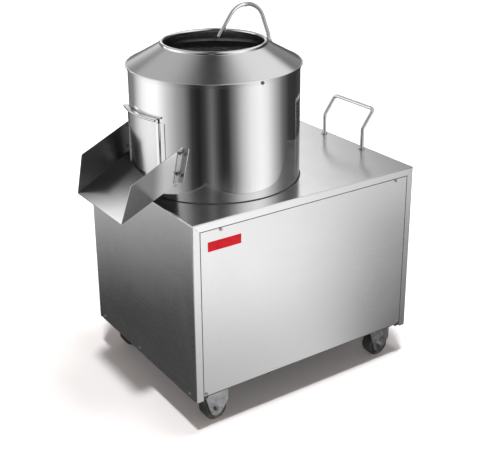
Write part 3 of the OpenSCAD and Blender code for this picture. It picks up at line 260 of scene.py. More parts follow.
def grey_round(tree, share, stops):
    """A grey round the room, by stops of an angle in degrees and a grey."""
    steps = [((angle + 180) / 360, float(grey)) for angle, grey in stops]
    return grey_steps(tree, share, steps)


def room_bands(tree, share):
    """The bright and dark panels round the room."""
    brighter = vector_node(tree, "SCALE", grey_round(tree, share, AROUND_THE_ROOM))
    brighter.inputs["Scale"].default_value = PANEL_LIGHT
    return brighter.outputs[0]


def backdrop_light(tree, parts):
    """Bright at the left and dark at the right, along a line that leans."""
    leaning = math_node(tree, "MULTIPLY", parts["Z"], BACKDROP_LEAN)
    across = math_node(tree, "ADD", parts["X"], leaning)
    far_left = blend_range(tree, across, -0.32, -0.22, 0.8, 1.25)
    to_right = blend_range(tree, across, -0.185, -0.045, 1.0, 0.22)
    return math_node(tree, "MULTIPLY", far_left, to_right)


def overhead_light(tree, parts):
    """Dark in the middle, with a dim panel at the left and a bright one at the right."""
    left = blend_range(tree, parts["X"], -0.4, -0.06, 0.5, 0.05)
    right = blend_range(tree, parts["X"], 0.0, 0.33, 0.0, 0.82)
    return math_node(tree, "ADD", left, right)


share, parts = room_angle(tree, add_node(tree, "ShaderNodeTexCoord").outputs["Generated"])
bands = room_bands(tree, share)
from_front = math_node(tree, "ABSOLUTE", math_node(tree, "SUBTRACT", share, 0.5))
is_behind = blend_range(tree, from_front, 0.41, 0.455)
backdrop = mix_colors(tree, is_behind, bands, backdrop_light(tree, parts))
is_overhead = blend_range(tree, parts["Z"], 0.42, 0.56)
above = mix_colors(tree, is_overhead, backdrop, overhead_light(tree, parts))
is_up = blend_range(tree, parts["Z"], 0.04, 0.12)
rays = add_node(tree, "ShaderNodeLightPath").outputs
for_gloss = mix_colors(tree, is_up, bands, above)
not_white = mix_colors(tree, rays["Is Glossy Ray"], FILL_LIGHT, for_gloss)
is_white = math_node(tree, "MAXIMUM", rays["Is Camera Ray"], rays["Is Transmission Ray"])
background = add_node(tree, "ShaderNodeBackground")
tree.links.new(mix_colors(tree, is_white, not_white, WHITE), background.inputs["Color"])
put_out(tree, background.outputs[0], "ShaderNodeOutputWorld")
print("stops round the room", len(AROUND_THE_ROOM))

# %% [markdown]
# ## Floor
# The floor is pale and plain. For the camera it glows more and more towards
# the white background, and it keeps the machine's soft shadow. Glossy rays see
# it dark near the cabinet and bright further out, as the panels light it.

# %% Floor
deselect_all()
bpy.ops.mesh.primitive_plane_add(size=40, location=(0, 0, 0))
floor = bpy.context.object
floor.name = "studio_floor"

NEAR_THE_CABINET = [
    (-180, 0.25), (-150, 0.3), (-60, 0.42), (-25, 0.45), (-8, 0.7), (30, 0.9), (50, 1.0),
    (60, 0.95), (68, 0.72), (74, 0.45), (82, 0.2), (100, 0.12), (150, 0.12), (180, 0.25),
]


def floor_for_gloss(tree, place, distance):
    """What steel sees of the floor: a shaded ring round the cabinet, then the room's panels."""
    share, parts = room_angle(tree, place)
    near = grey_round(tree, share, NEAR_THE_CABINET)
    toward_right = blend_range(tree, parts["X"], -0.16, -0.02)
    left_shade = blend_range(tree, distance, 0.55, 1.5, 0.15, 1.2)
    right_shade = blend_range(tree, distance, 0.4, 1.3, 0.7, 1.3)
    shade = mix_colors(tree, toward_right, left_shade, right_shade)
    shaded = mix_colors(tree, 1.0, near, shade, "MULTIPLY")
    in_front = blend_range(tree, parts["X"], -1.3, -1.0, 0.0, 0.2)
    is_far = blend_range(tree, math_node(tree, "ADD", distance, in_front), 1.55, 1.85)
    light = add_node(tree, "ShaderNodeEmission")
    seen = mix_colors(tree, is_far, shaded, room_bands(tree, share))
    tree.links.new(seen, light.inputs["Color"])
    return light.outputs[0]


def floor_for_camera(tree, distance):
    """A pale floor that catches the shadow, with a glow that grows outwards."""
    lit = add_node(tree, "ShaderNodeBsdfDiffuse")
    lit.inputs["Color"].default_value = (0.86, 0.85, 0.845, 1)
    glow = add_node(tree, "ShaderNodeEmission")
    glow.inputs["Color"].default_value = (*WHITE, 1)
    tree.links.new(blend_range(tree, distance, 0.5, 2.0, 0.0, 0.45), glow.inputs["Strength"])
    both = add_node(tree, "ShaderNodeAddShader")
    for socket, shader in zip(both.inputs, (lit, glow)):
        tree.links.new(shader.outputs[0], socket)
    return both.outputs[0]


paint, tree = empty_material("studio_floor")
place = object_place(tree)
distance = vector_node(tree, "LENGTH", place).outputs["Value"]
pale = add_node(tree, "ShaderNodeBsdfDiffuse")
pale.inputs["Color"].default_value = (0.62, 0.61, 0.6, 1)
rays = add_node(tree, "ShaderNodeLightPath").outputs
for_camera = floor_for_camera(tree, distance)
no_gloss = mix_shaders(tree, rays["Is Camera Ray"], pale.outputs[0], for_camera)
for_gloss = floor_for_gloss(tree, place, distance)
put_out(tree, mix_shaders(tree, rays["Is Glossy Ray"], no_gloss, for_gloss))
floor.data.materials.append(paint)
print("floor", [round(side) for side in floor.dimensions[:2]], "m")

# %% [markdown]
# ## Lamps
# Steel gets its look from the room, so the lamps are kept out of what it
# shows. A disk and a sun stand almost overhead and draw the shadow, soft at its
# rim and dark at its core. A low sun from the front lights the castors.

# %% Lamps
def add_lamp(name, kind, energy, **values):
    data = bpy.data.lights.new(name, kind)
    data.energy = energy
    for key, value in values.items():
        setattr(data, key, value)
    lamp = bpy.data.objects.new(name, data)
    bpy.context.collection.objects.link(lamp)
    lamp.visible_camera = lamp.visible_glossy = False
    return lamp


key_lamp = add_lamp("key_lamp", "AREA", 45, shape="DISK", size=0.9)
key_lamp.location = (0.3, -0.35, 3.3)
to_machine = Vector((0, 0, 0.3)) - key_lamp.location
key_lamp.rotation_euler = to_machine.to_track_quat("-Z", "Y").to_euler()
for name, tilt, energy, spread in (("top_light", 12, 2.2, 5), ("front_fill", 73, 0.7, 3)):
    sun = add_lamp(name, "SUN", energy, angle=math.radians(spread))
    sun.rotation_euler = (math.radians(tilt), 0, -camera_yaw)

# %% [markdown]
# ### Card behind the chute
# The chute's floor shows what hangs behind the machine. A small card stands
# there, dark at one side and bright at the other, so that the floor turns from
# dark near the drum to bright at its lip. Only glossy rays see the card.

# %% Card behind the chute
CARD_STEPS = [(0.0, 0.06), (0.3, 0.2), (0.5, 0.62), (0.7, 1.0), (1.0, 1.0)]
CARD_SLANT = (-0.86, 0.0, 0.51)
CARD_LIGHT = 1.6

deselect_all()
bpy.ops.mesh.primitive_plane_add(
    size=0.28, location=(-0.43, 0.62, 0.94), rotation=(math.pi / 2, 0, 0)
)
card = bpy.context.object
card.name = "chute_card"
bpy.ops.object.transform_apply(location=True, rotation=True, scale=True)
for way in ("camera", "diffuse", "transmission", "volume_scatter", "shadow"):
    setattr(card, "visible_" + way, False)
paint, tree = empty_material("chute_card")
slant = vector_node(tree, "DOT_PRODUCT", object_place(tree), CARD_SLANT).outputs["Value"]
across = blend_range(tree, slant, 0.74, 0.94)
shine = add_node(tree, "ShaderNodeEmission")
tree.links.new(grey_steps(tree, across, CARD_STEPS), shine.inputs["Color"])
shine.inputs["Strength"].default_value = CARD_LIGHT
put_out(tree, shine.outputs[0])
card.data.materials.append(paint)

# %% [markdown]
# ## Shared effects
# Four effects come back in several finishes, so each is a node group: fine
# grinding lines, faint smudges, bonded grit, and dirt near the floor. A group
# only puts out masks and heights. The shader stays in each material.

# %% Node groups
def new_group(name, inputs, outputs):
    group = bpy.data.node_groups.new(name, "ShaderNodeTree")
    for way, sockets in (("INPUT", inputs), ("OUTPUT", outputs)):
        for label, kind in sockets:
            group.interface.new_socket(name=label, in_out=way, socket_type=kind)
    entry = add_node(group, "NodeGroupInput")
    return group, entry.outputs, add_node(group, "NodeGroupOutput").inputs


def noise(tree, vector, scale, detail=2.0, roughness=0.5, distortion=0.0):
    node = add_node(tree, "ShaderNodeTexNoise")
    tree.links.new(vector, node.inputs["Vector"])
    feed(tree, node.inputs["Scale"], scale)
    set_inputs(node, Detail=detail, Roughness=roughness, Distortion=distortion)
    return node.outputs[0]


VECTOR, FLOAT = "NodeSocketVector", "NodeSocketFloat"

grinding, given, result = new_group(
    "grinding_lines", [("Place", VECTOR), ("Lines per metre", VECTOR)], [("Lines", FLOAT)]
)
stretched = vector_node(
    grinding, "MULTIPLY", given["Place"], given["Lines per metre"]
).outputs[0]
fine = math_node(grinding, "MULTIPLY", noise(grinding, stretched, 1.0, 3.0, 0.6), 0.5)
wide = math_node(grinding, "MULTIPLY_ADD", noise(grinding, stretched, 0.22, 1.0), 0.2, 0.15)
grinding.links.new(math_node(grinding, "ADD", fine, wide), result["Lines"])

smudges, given, result = new_group(
    "handling_smudges", [("Place", VECTOR), ("Size", FLOAT)], [("Smudge", FLOAT)]
)
per_metre = math_node(smudges, "DIVIDE", 1.0, given["Size"])
cloud = noise(smudges, given["Place"], per_metre, 4.0, 0.62, 0.6)
smudges.links.new(blend_range(smudges, cloud, 0.35, 0.72), result["Smudge"])

grit, given, result = new_group(
    "bonded_grit",
    [("Place", VECTOR), ("Grain size", FLOAT)],
    [("Height", FLOAT), ("Sparkle", FLOAT)],
)
grains = add_node(grit, "ShaderNodeTexVoronoi")
grit.links.new(given["Place"], grains.inputs["Vector"])
grit.links.new(math_node(grit, "DIVIDE", 1.0, given["Grain size"]), grains.inputs["Scale"])
dome = math_node(grit, "SUBTRACT", 1.0, grains.outputs["Distance"], clamp=True)
grit.links.new(dome, result["Height"])
tone = add_node(grit, "ShaderNodeSeparateColor")
grit.links.new(grains.outputs["Color"], tone.inputs[0])
grit.links.new(tone.outputs[0], result["Sparkle"])

floor_dirt, given, result = new_group(
    "dirt_near_the_floor", [("Place", VECTOR), ("Reach", FLOAT)], [("Dirt", FLOAT)]
)
height = split(floor_dirt, given["Place"])["Z"]
rise = math_node(floor_dirt, "DIVIDE", height, given["Reach"])
low_down = blend_range(floor_dirt, rise, 0.0, 1.0, 1.0, 0.0)
patches = blend_range(floor_dirt, noise(floor_dirt, given["Place"], 45.0, 5.0), 0.35, 0.7)
floor_dirt.links.new(math_node(floor_dirt, "MULTIPLY", low_down, patches), result["Dirt"])
print("shared effects", [g.name for g in bpy.data.node_groups])

# %% [markdown]
# ## Finishes
# A finish starts as a Principled shader with its fixed numbers on its own
# sockets. Only what changes over the surface is linked: a colour, a roughness
# and the small bumps.

# %% Start of a finish
def new_finish(name, color, metallic=0.0, roughness=0.5, **constants):
    material = bpy.data.materials.new(name)
    material.use_nodes = True
    tree = material.node_tree
    shader = tree.nodes["Principled BSDF"]
    set_inputs(
        shader, Base_Color=(*color, 1), Metallic=metallic, Roughness=roughness, **constants
    )
    return material, tree, shader.inputs, object_place(tree)


def use_group(tree, group, place, **values):
    node = add_node(tree, "ShaderNodeGroup")
    node.node_tree = group
    tree.links.new(place, node.inputs["Place"])
    set_inputs(node, **values)
    return node.outputs


def bump(tree, shader, height, depth):
    node = add_node(tree, "ShaderNodeBump")
    tree.links.new(height, node.inputs["Height"])
    node.inputs["Distance"].default_value = depth
    tree.links.new(node.outputs[0], shader["Normal"])


def smudged(tree, place, size):
    return use_group(tree, smudges, place, Size=size)["Smudge"]


def dress(material, *nodes):
    """Gives CAD nodes a finish."""
    for node in nodes:
        slots = frame["nodes"][node].data.materials
        slots.clear()
        slots.append(material)


# %% [markdown]
# ### Stainless sheet
# Each sheet is ground along one way, so its grain has few lines that way and
# many across. The chute's colour holds a painted reflection: its floor is
# painted dark near the drum and bright at the lip, and its walls are painted
# dark, the rear one all over and the front one's outside at its left. Walls
# and floor are told apart by their normal.

# %% Stainless sheet
GREY_STEEL = (0.82, 0.82, 0.82)
CHUTE_STEEL = (0.6, 0.6, 0.6)


def ground_steel(
    name, lines, color=GREY_STEEL, rough=(0.2, 0.28), depth=0.000005, painted_reflection=None
):
    """Stainless sheet with grinding lines. lines says how many there are along X, Y and Z."""
    material, tree, shader, place = new_finish(name, color, 1.0)
    grain = use_group(tree, grinding, place, Lines_per_metre=lines)["Lines"]
    satin = blend_range(tree, grain, 0.3, 0.7, *rough)
    marks = smudged(tree, place, 0.25)
    tree.links.new(
        math_node(tree, "MULTIPLY_ADD", marks, 0.05, satin), shader["Roughness"]
    )
    dark = tuple(0.99 * c for c in color)
    light = tuple(min(1.01 * c, 1.0) for c in color)
    sheet = mix_colors(tree, blend_range(tree, grain, 0.3, 0.7), dark, light)
    # A painted reflection, where one is given, darkens and brightens the sheet's colour.
    if painted_reflection:
        sheet = painted_reflection(tree, place, sheet)
    tree.links.new(sheet, shader["Base Color"])
    bump(tree, shader, grain, depth)
    return material


def chute_reflection_paint(tree, place, sheet):
    """Paints a reflection: darkens the walls and the floor towards the drum, and brightens the
    floor at its lip.
    """
    down_the_chute = vector_node(tree, "DOT_PRODUCT", place, (0.8, 0.45, 0.0)).outputs["Value"]
    # Painted reflection on the floor: bright at the lip, dark near the drum.
    floor_painted_reflection = blend_range(tree, down_the_chute, -0.42, -0.22, 1.45, 0.28)
    normal = split(tree, add_node(tree, "ShaderNodeNewGeometry").outputs["Normal"])
    is_wall = blend_range(tree, normal["Y"], -0.45, -0.6)
    spot = split(tree, place)
    is_front = blend_range(tree, spot["Y"], 0.0, -0.05)
    # Painted reflection on the walls: the rear one dark, the front one darker at its left.
    front_painted_reflection = blend_range(tree, spot["X"], -0.31, -0.27, 0.55, 1.3)
    wall_painted_reflection = mix_colors(tree, is_front, (0.32, 0.32, 0.32), front_painted_reflection)
    tone = mix_colors(tree, is_wall, floor_painted_reflection, wall_painted_reflection)
    return mix_colors(tree, 1.0, sheet, tone, "MULTIPLY")


FLAT, ROLLED = 0.000001, 0.000002
front_sheet = ground_steel("front_sheet", (5, 2400, 2400), rough=(0.24, 0.28), depth=FLAT)
side_sheet = ground_steel("side_sheet", (2400, 5, 2400), rough=(0.24, 0.28), depth=FLAT)
top_sheet = ground_steel("top_sheet", (5, 2400, 2400), rough=(0.18, 0.22), depth=FLAT)
# The chute's colour gets a painted reflection, darker near the drum.
chute_sheet = ground_steel(
    "chute_sheet", (8, 1200, 1200), CHUTE_STEEL, (0.16, 0.2), FLAT, painted_reflection=chute_reflection_paint
)
bracket_sheet = ground_steel(
    "bracket_sheet", (8, 1200, 1200), CHUTE_STEEL, (0.3, 0.36), FLAT
)
door_sheet = ground_steel(
    "door_sheet", (700, 700, 10), (0.76, 0.76, 0.76), (0.2, 0.26), ROLLED
)
drum_sheet = ground_steel(
    "drum_sheet", (700, 700, 10), (0.84, 0.84, 0.84), (0.06, 0.1), ROLLED
)
cone_sheet = ground_steel(
    "cone_sheet", (500, 500, 60), (0.8, 0.8, 0.8), (0.13, 0.18), ROLLED
)
hose_steel = ground_steel("hose_steel", (300, 300, 300), (0.72, 0.72, 0.72), (0.16, 0.24))
screw_zinc = ground_steel("screw_zinc", (900, 900, 900), (0.5, 0.5, 0.51), (0.2, 0.3))
dress(front_sheet, "front_panel", "rear_panel")
dress(side_sheet, "left_side_panel", "right_side_panel")
dress(top_sheet, "cabinet_top", "drum_floor")
dress(chute_sheet, "chute")
dress(bracket_sheet, "chute_brackets")
dress(drum_sheet, "drum_shell", "door_guides")
dress(door_sheet, "outlet_door")
dress(cone_sheet, "cone_cover")
dress(hose_steel, "gooseneck", "drain_pipe")

# %% [markdown]
# ### Rod, zinc and painted steel
# The bent rods are bright, with faint marks of hands. The castors' forks and
# the small hardware are zinc plated and get dirty near the floor. The frame
# inside is painted nearly black, dark enough to be a painted shade where it
# shows under the cabinet.

# %% Rod, zinc and painted steel
bright_rod, tree, shader, place = new_finish("bright_rod", (0.9, 0.9, 0.9), 1.0, 0.08)
marks = smudged(tree, place, 0.03)
tree.links.new(blend_range(tree, marks, 0.0, 1.0, 0.05, 0.14), shader["Roughness"])
bump(tree, shader, noise(tree, place, 260.0, 3.0), 0.00001)
dress(bright_rod, "feed_ring", "push_handle", "disc_nut", "nozzle")

zinc, tree, shader, place = new_finish("zinc_plate", (0.62, 0.63, 0.65), 1.0, 0.4)
marks = smudged(tree, place, 0.012)
dirt = use_group(tree, floor_dirt, place, Reach=0.09)["Dirt"]
spangle = mix_colors(tree, marks, (0.5, 0.51, 0.54), (0.7, 0.7, 0.71))
tree.links.new(mix_colors(tree, dirt, spangle, (0.2, 0.17, 0.14)), shader["Base Color"])
tree.links.new(blend_range(tree, marks, 0.0, 1.0, 0.3, 0.5), shader["Roughness"])
bump(tree, shader, noise(tree, place, 500.0, 4.0), 0.00003)
CORNERS = ("front_left", "front_right", "rear_left", "rear_right")
dress(zinc, *["castor_fork_" + corner for corner in CORNERS])
dress(zinc, "castor_axles", "frame_bolts", "handle_nuts", "pipe_clips")

# Near-black paint, and also a painted shade where the frame shows under the cabinet.
frame_paint_and_shade, tree, shader, place = new_finish("frame_paint_and_shade", (0.07, 0.07, 0.075), 0.0, 0.45)
marks = smudged(tree, place, 0.05)
paint = mix_colors(tree, marks, (0.05, 0.05, 0.055), (0.09, 0.09, 0.095))
tree.links.new(paint, shader["Base Color"])
tree.links.new(blend_range(tree, marks, 0.0, 1.0, 0.35, 0.55), shader["Roughness"])
bump(tree, shader, noise(tree, place, 320.0, 3.0), 0.00008)
dress(frame_paint_and_shade, "base_plate", "inner_frame", "drum_support_plate", "motor_plate")

# %% [markdown]
# ### Fasteners, shafts and castings
# Bolts are dark and a little blotchy, turned parts have fine rings along their
# axis, and cast parts are rough.

# %% Fasteners, shafts and castings
dark_plate, tree, shader, place = new_finish("dark_plate", (0.2, 0.2, 0.21), 1.0, 0.35)
marks = smudged(tree, place, 0.006)
plate = mix_colors(tree, marks, (0.14, 0.14, 0.15), (0.32, 0.32, 0.33))
tree.links.new(plate, shader["Base Color"])
bump(tree, shader, noise(tree, place, 900.0), 0.00002)
dress(dark_plate, "cover_screws", "chute_bolts")

turned, tree, shader, place = new_finish("turned_steel", (0.72, 0.72, 0.73), 1.0, 0.25)
grain = use_group(tree, grinding, place, Lines_per_metre=(20, 20, 1500))["Lines"]
tree.links.new(blend_range(tree, grain, 0.3, 0.7, 0.18, 0.32), shader["Roughness"])
bump(tree, shader, grain, 0.00001)
dress(turned, "main_shaft", "upper_bearing", "lower_bearing", "motor_rotor", "supply_pipe")

casting, tree, shader, place = new_finish("casting", (0.2, 0.21, 0.23), 0.6, 0.55)
marks = smudged(tree, place, 0.02)
iron = mix_colors(tree, marks, (0.15, 0.16, 0.17), (0.26, 0.27, 0.29))
tree.links.new(iron, shader["Base Color"])
bump(tree, shader, noise(tree, place, 420.0, 5.0, 0.6), 0.00015)
dress(casting, "bearing_housing", "drive_pulley", "motor_pulley")

# %% [markdown]
# ### Abrasive
# Grains of grit stand close together in dark resin. A few of them are clean
# and catch the light.

# %% Abrasive
abrasive, tree, shader, place = new_finish("abrasive_grit", (0.05, 0.05, 0.05), 0.0, 0.85)
grain = use_group(tree, grit, place, Grain_size=0.0016)
is_clean = blend_range(tree, grain["Sparkle"], 0.55, 1.0)
resin = mix_colors(tree, is_clean, (0.07, 0.07, 0.075), (0.3, 0.3, 0.31))
tree.links.new(resin, shader["Base Color"])
tree.links.new(blend_range(tree, grain["Sparkle"], 0.0, 1.0, 0.95, 0.45), shader["Roughness"])
bump(tree, shader, grain["Height"], 0.0007)
dress(abrasive, "drum_liner", "abrasive_disc")

# %% [markdown]
# ### Rubber, plastic and enamel
# These share one recipe: a body colour with lighter smudges, a fine grain, and
# dirt near the floor on the wheels.

# %% Rubber, plastic and enamel
def moulded(name, color, rough, grain=(700.0, 0.00003), dirt_reach=None, **constants):
    """A body colour. grain says how fine its noise is, and how deep."""
    material, tree, shader, place = new_finish(name, color, 0.0, rough, **constants)
    marks = smudged(tree, place, 0.02)
    light = tuple(min(1.0, 1.25 * c + 0.01) for c in color)
    body = mix_colors(tree, marks, color, light)
    if dirt_reach:
        dirt = use_group(tree, floor_dirt, place, Reach=dirt_reach)["Dirt"]
        body = mix_colors(tree, dirt, body, (0.16, 0.14, 0.12))
    tree.links.new(body, shader["Base Color"])
    satin = blend_range(tree, marks, 0.0, 1.0, rough - 0.08, rough + 0.08)
    tree.links.new(satin, shader["Roughness"])
    fineness, depth = grain
    bump(tree, shader, noise(tree, place, fineness, 3.0), depth)
    return material


SMOOTH_GRAIN = (700.0, 0.00001)
wheel_rubber = moulded("wheel_rubber", (0.022, 0.022, 0.023), 0.5, dirt_reach=0.03)
belt_rubber = moulded("belt_rubber", (0.03, 0.03, 0.03), 0.7)
black_plastic = moulded("black_plastic", (0.035, 0.035, 0.037), 0.4)
motor_enamel = moulded("motor_enamel", (0.16, 0.24, 0.28), 0.35, (250.0, 0.00006))
plate_enamel = moulded(
    "nameplate_enamel", (0.6, 0.003, 0.014), 0.45, SMOOTH_GRAIN, Specular_IOR_Level=0.2
)
sealant = moulded("sealant", (0.02, 0.02, 0.02), 0.45, (150.0, 0.0001))
gasket_rubber = moulded("gasket_rubber", (0.03, 0.03, 0.03), 0.6)
dress(wheel_rubber, *["castor_wheel_" + corner for corner in CORNERS])
dress(belt_rubber, "v_belt", "shaft_seal")
dress(black_plastic, "motor_fan", "terminal_box", "button_bodies", "cable_gland")
dress(motor_enamel, "motor_body", "motor_fan_cover")
dress(moulded("capacitor_can", (0.75, 0.75, 0.72), 0.35), "run_capacitor")
dress(moulded("start_cap", (0.03, 0.36, 0.1), 0.25, SMOOTH_GRAIN), "start_button")
dress(moulded("stop_cap", (0.62, 0.03, 0.03), 0.25, SMOOTH_GRAIN), "stop_button")
dress(plate_enamel, "nameplate")
print("finishes", len(bpy.data.materials))

# %% [markdown]
# ## Pieces made here
# A few small pieces are easier to shape by hand than in CAD: the ribbed hose
# of the water spout, screws with a cross recess, a sealing bead, a rolled edge,
# gaskets, the folds of the top and pressed louvres. Each starts as a primitive
# and is then shaped. Their places come from the CAD nodes they sit on.

# %% Places taken from the nodes
LEFT, FRONT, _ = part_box("cabinet_top")[0]
RIGHT, BACK, CABINET_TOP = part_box("cabinet_top")[1]
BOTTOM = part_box("left_side_panel")[0][2]
shell_low, shell_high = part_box("drum_shell")
DRUM_RADIUS, DRUM_TOP = (shell_high[0] - shell_low[0]) / 2, shell_high[2]
AXIS_X, AXIS_Y, _ = sum(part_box("cone_cover"), Vector()) / 2
print("drum", round(DRUM_RADIUS, 4), "at", round(AXIS_X, 4), round(AXIS_Y, 4))

# %% [markdown]
# The helpers pick faces or edges by a test, apply what is pending, join pieces
# and lay out copies.

# %% Modelling helpers
def pick_faces(piece, test):
    """Selects the faces whose centre and normal pass a test, and enters edit mode."""
    select_only(piece)
    for group in (piece.data.vertices, piece.data.edges):
        group.foreach_set("select", [False] * len(group))
    chosen = [test(face.center, face.normal) for face in piece.data.polygons]
    piece.data.polygons.foreach_set("select", chosen)
    bpy.ops.object.mode_set(mode="EDIT")
    bpy.ops.mesh.select_mode(type="FACE")


def pick_edges(piece, test):
    """Selects the edges whose two ends pass a test, and enters edit mode."""
    select_only(piece)
    points = piece.data.vertices
    for group in (points, piece.data.polygons):
        group.foreach_set("select", [False] * len(group))
    edges = piece.data.edges
    chosen = [test(points[e.vertices[0]].co, points[e.vertices[1]].co) for e in edges]
    edges.foreach_set("select", chosen)
    for edge, picked in zip(edges, chosen):
        if picked:
            points[edge.vertices[0]].select = points[edge.vertices[1]].select = True
    bpy.ops.object.mode_set(mode="EDIT")
    bpy.ops.mesh.select_mode(type="EDGE")


def leave_edit():
    bpy.ops.object.mode_set(mode="OBJECT")


def apply_place(piece):
    select_only(piece)
    bpy.ops.object.transform_apply(location=True, rotation=True, scale=True)


def apply_modifiers(piece):
    select_only(piece)
    for modifier in list(piece.modifiers):
        bpy.ops.object.modifier_apply(modifier=modifier.name)


def round_rims(piece, test, width, segments=2):
    """Bevels the edges whose two ends pass a test."""
    pick_edges(piece, test)
    bpy.ops.mesh.bevel(offset=width, segments=segments, affect="EDGES")
    leave_edit()


def join(parts):
    """Joins pieces into the first of them."""
    deselect_all()
    for part in parts:
        part.select_set(True)
    bpy.context.view_layer.objects.active = parts[0]
    bpy.ops.object.join()
    return parts[0]


def copies_of(piece, places):
    """One joined piece from a copy of a shape at each matrix."""
    made = []
    for place in places:
        copy = piece.copy()
        copy.data = piece.data.copy()
        copy.data.transform(place)
        bpy.context.collection.objects.link(copy)
        made.append(copy)
    bpy.data.objects.remove(piece)
    return join(made)


def finish_piece(piece, name, material, smooth=30):
    """Names a piece, gives it a finish and lets it ride on the machine's body."""
    piece.name = piece.data.name = name
    piece.data.materials.clear()
    piece.data.materials.append(material)
    select_only(piece)
    bpy.ops.object.shade_smooth_by_angle(angle=math.radians(smooth))
    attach(piece, "machine")
    print(name, len(piece.data.polygons), "faces")


# %% [markdown]
# ### Ribbed hose
# The spout's rising leg is a bendable metal hose with narrow ribs. One rib is
# a short open tube whose middle rings are pushed outwards. An Array modifier
# stacks it and a Curve modifier bends the stack along the spout's path.

# %% One rib
HEXAGON_RADIUS, HEXAGON_HEIGHT = 0.00924, 0.014
hose_low, hose_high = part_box("gooseneck")
HOSE_X = hose_high[0] - HEXAGON_RADIUS
HOSE_Y = (hose_low[1] + hose_high[1]) / 2
HOSE_Z = hose_low[2] + HEXAGON_HEIGHT
HOSE_RADIUS, RIB = 0.0044, 0.0033
RIB_RINGS = ((0.2, 0.3, 1.17), (0.45, 0.55, 1.25), (0.7, 0.8, 1.17))

deselect_all()
bpy.ops.mesh.primitive_cylinder_add(
    vertices=24, radius=HOSE_RADIUS, depth=RIB, end_fill_type="NOTHING", location=(0, 0, RIB / 2)
)
hose = bpy.context.object
apply_place(hose)
pick_edges(hose, lambda a, b: abs(a.z - b.z) > RIB / 2)
bpy.ops.mesh.subdivide(number_cuts=3)
leave_edit()
for low, high, grow in RIB_RINGS:
    pick_edges(hose, lambda a, b: low * RIB < min(a.z, b.z) and max(a.z, b.z) < high * RIB)
    bpy.ops.transform.resize(value=(grow, grow, 1), orient_type="GLOBAL")
    leave_edit()
print("one rib", len(hose.data.polygons), "faces")

# %% [markdown]
# The path rises with a slight bend, runs straight for a short way and then
# bends over towards the drum. Its points are how far it has gone towards the
# drum and how high it is.

# %% Path of the spout
FIRST_RADIUS, FIRST_TURN, FIRST_STEPS = 0.075, math.radians(20), 8
STRAIGHT, STRAIGHT_STEPS = 0.046, 4
LAST_RADIUS, LAST_TURN, LAST_STEPS = 0.052, math.radians(70), 24


def bend_points(start, lean, radius, turn, steps):
    """Points along a bend that leans towards the drum, and the lean at its end."""
    middle = (start[0] + radius * math.cos(lean), start[1] - radius * math.sin(lean))
    points = []
    for i in range(1, steps + 1):
        a = lean + turn * i / steps
        points.append((middle[0] - radius * math.cos(a), middle[1] + radius * math.sin(a)))
    return points, lean + turn


first, lean = bend_points((0, 0), 0, FIRST_RADIUS, FIRST_TURN, FIRST_STEPS)
u, h = first[-1]
straight = []
for i in range(1, STRAIGHT_STEPS + 1):
    gone = STRAIGHT * i / STRAIGHT_STEPS
    straight.append((u + gone * math.sin(lean), h + gone * math.cos(lean)))
last, lean = bend_points(straight[-1], lean, LAST_RADIUS, LAST_TURN, LAST_STEPS)
path = [(0, 0)] + first + straight + last
length = sum(math.dist(a, b) for a, b in zip(path, path[1:]))

line = bpy.data.curves.new("spout_path", "CURVE")
line.dimensions = "3D"
spline = line.splines.new("POLY")
spline.points.add(len(path) - 1)
for point, (u, h) in zip(spline.points, path):
    point.co = (HOSE_X - u, HOSE_Y, HOSE_Z + h, 1)
guide = bpy.data.objects.new("spout_path", line)
bpy.context.collection.objects.link(guide)

stack = hose.modifiers.new("stack", "ARRAY")
stack.count = round(length / RIB)
stack.relative_offset_displace = (0, 0, 1)
stack.use_merge_vertices = True
follow = hose.modifiers.new("follow", "CURVE")
follow.object = guide
follow.deform_axis = "POS_Z"
apply_modifiers(hose)
bpy.data.objects.remove(guide)
print("hose", round(length, 4), "m", "ribs", round(length / RIB))

# %% [markdown]
# The hose ends in a hexagon with a collar below, and in a plain ferrule above.
# Each is a short cylinder with bevelled rims, turned into line with the path.

# %% Hose fittings
COLLAR_RADIUS, FERRULE_RADIUS, RING_HEIGHT = 0.0075, 0.0063, 0.005


def fitting(sides, radius, height, place, turn=0.0):
    deselect_all()
    bpy.ops.mesh.primitive_cylinder_add(
        vertices=sides, radius=radius, depth=height, location=(0, 0, height / 2)
    )
    part = bpy.context.object
    apply_place(part)
    round_rims(part, lambda a, b: abs(a.z - b.z) < height / 4, 0.0007)
    part.data.transform(Matrix.Translation(place) @ Matrix.Rotation(turn, 4, "Y"))
    return part


u, h = path[-1]
hexagon = fitting(6, HEXAGON_RADIUS, HEXAGON_HEIGHT, (HOSE_X, HOSE_Y, HOSE_Z - HEXAGON_HEIGHT))
collar = fitting(32, COLLAR_RADIUS, RING_HEIGHT, (HOSE_X, HOSE_Y, HOSE_Z))
ferrule = fitting(32, FERRULE_RADIUS, RING_HEIGHT, (HOSE_X - u, HOSE_Y, HOSE_Z + h), -math.pi / 2)
join([hose, hexagon, collar, ferrule])
finish_piece(hose, "spout_hose", hose_steel, smooth=50)
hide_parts("gooseneck")

# %% [markdown]
# ### Screws
# The covers are held by small pan head screws. One head is a cylinder with a
# rounded rim, and two crossed bars are cut from it with a Boolean modifier.
# Copies are then laid at every screw's place.

# %% One screw head
HEAD_RADIUS, HEAD_HEIGHT, HEAD_RIM = 0.0042, 0.0022, 0.0013
RECESS = (0.0046, 0.0009, 0.0022)


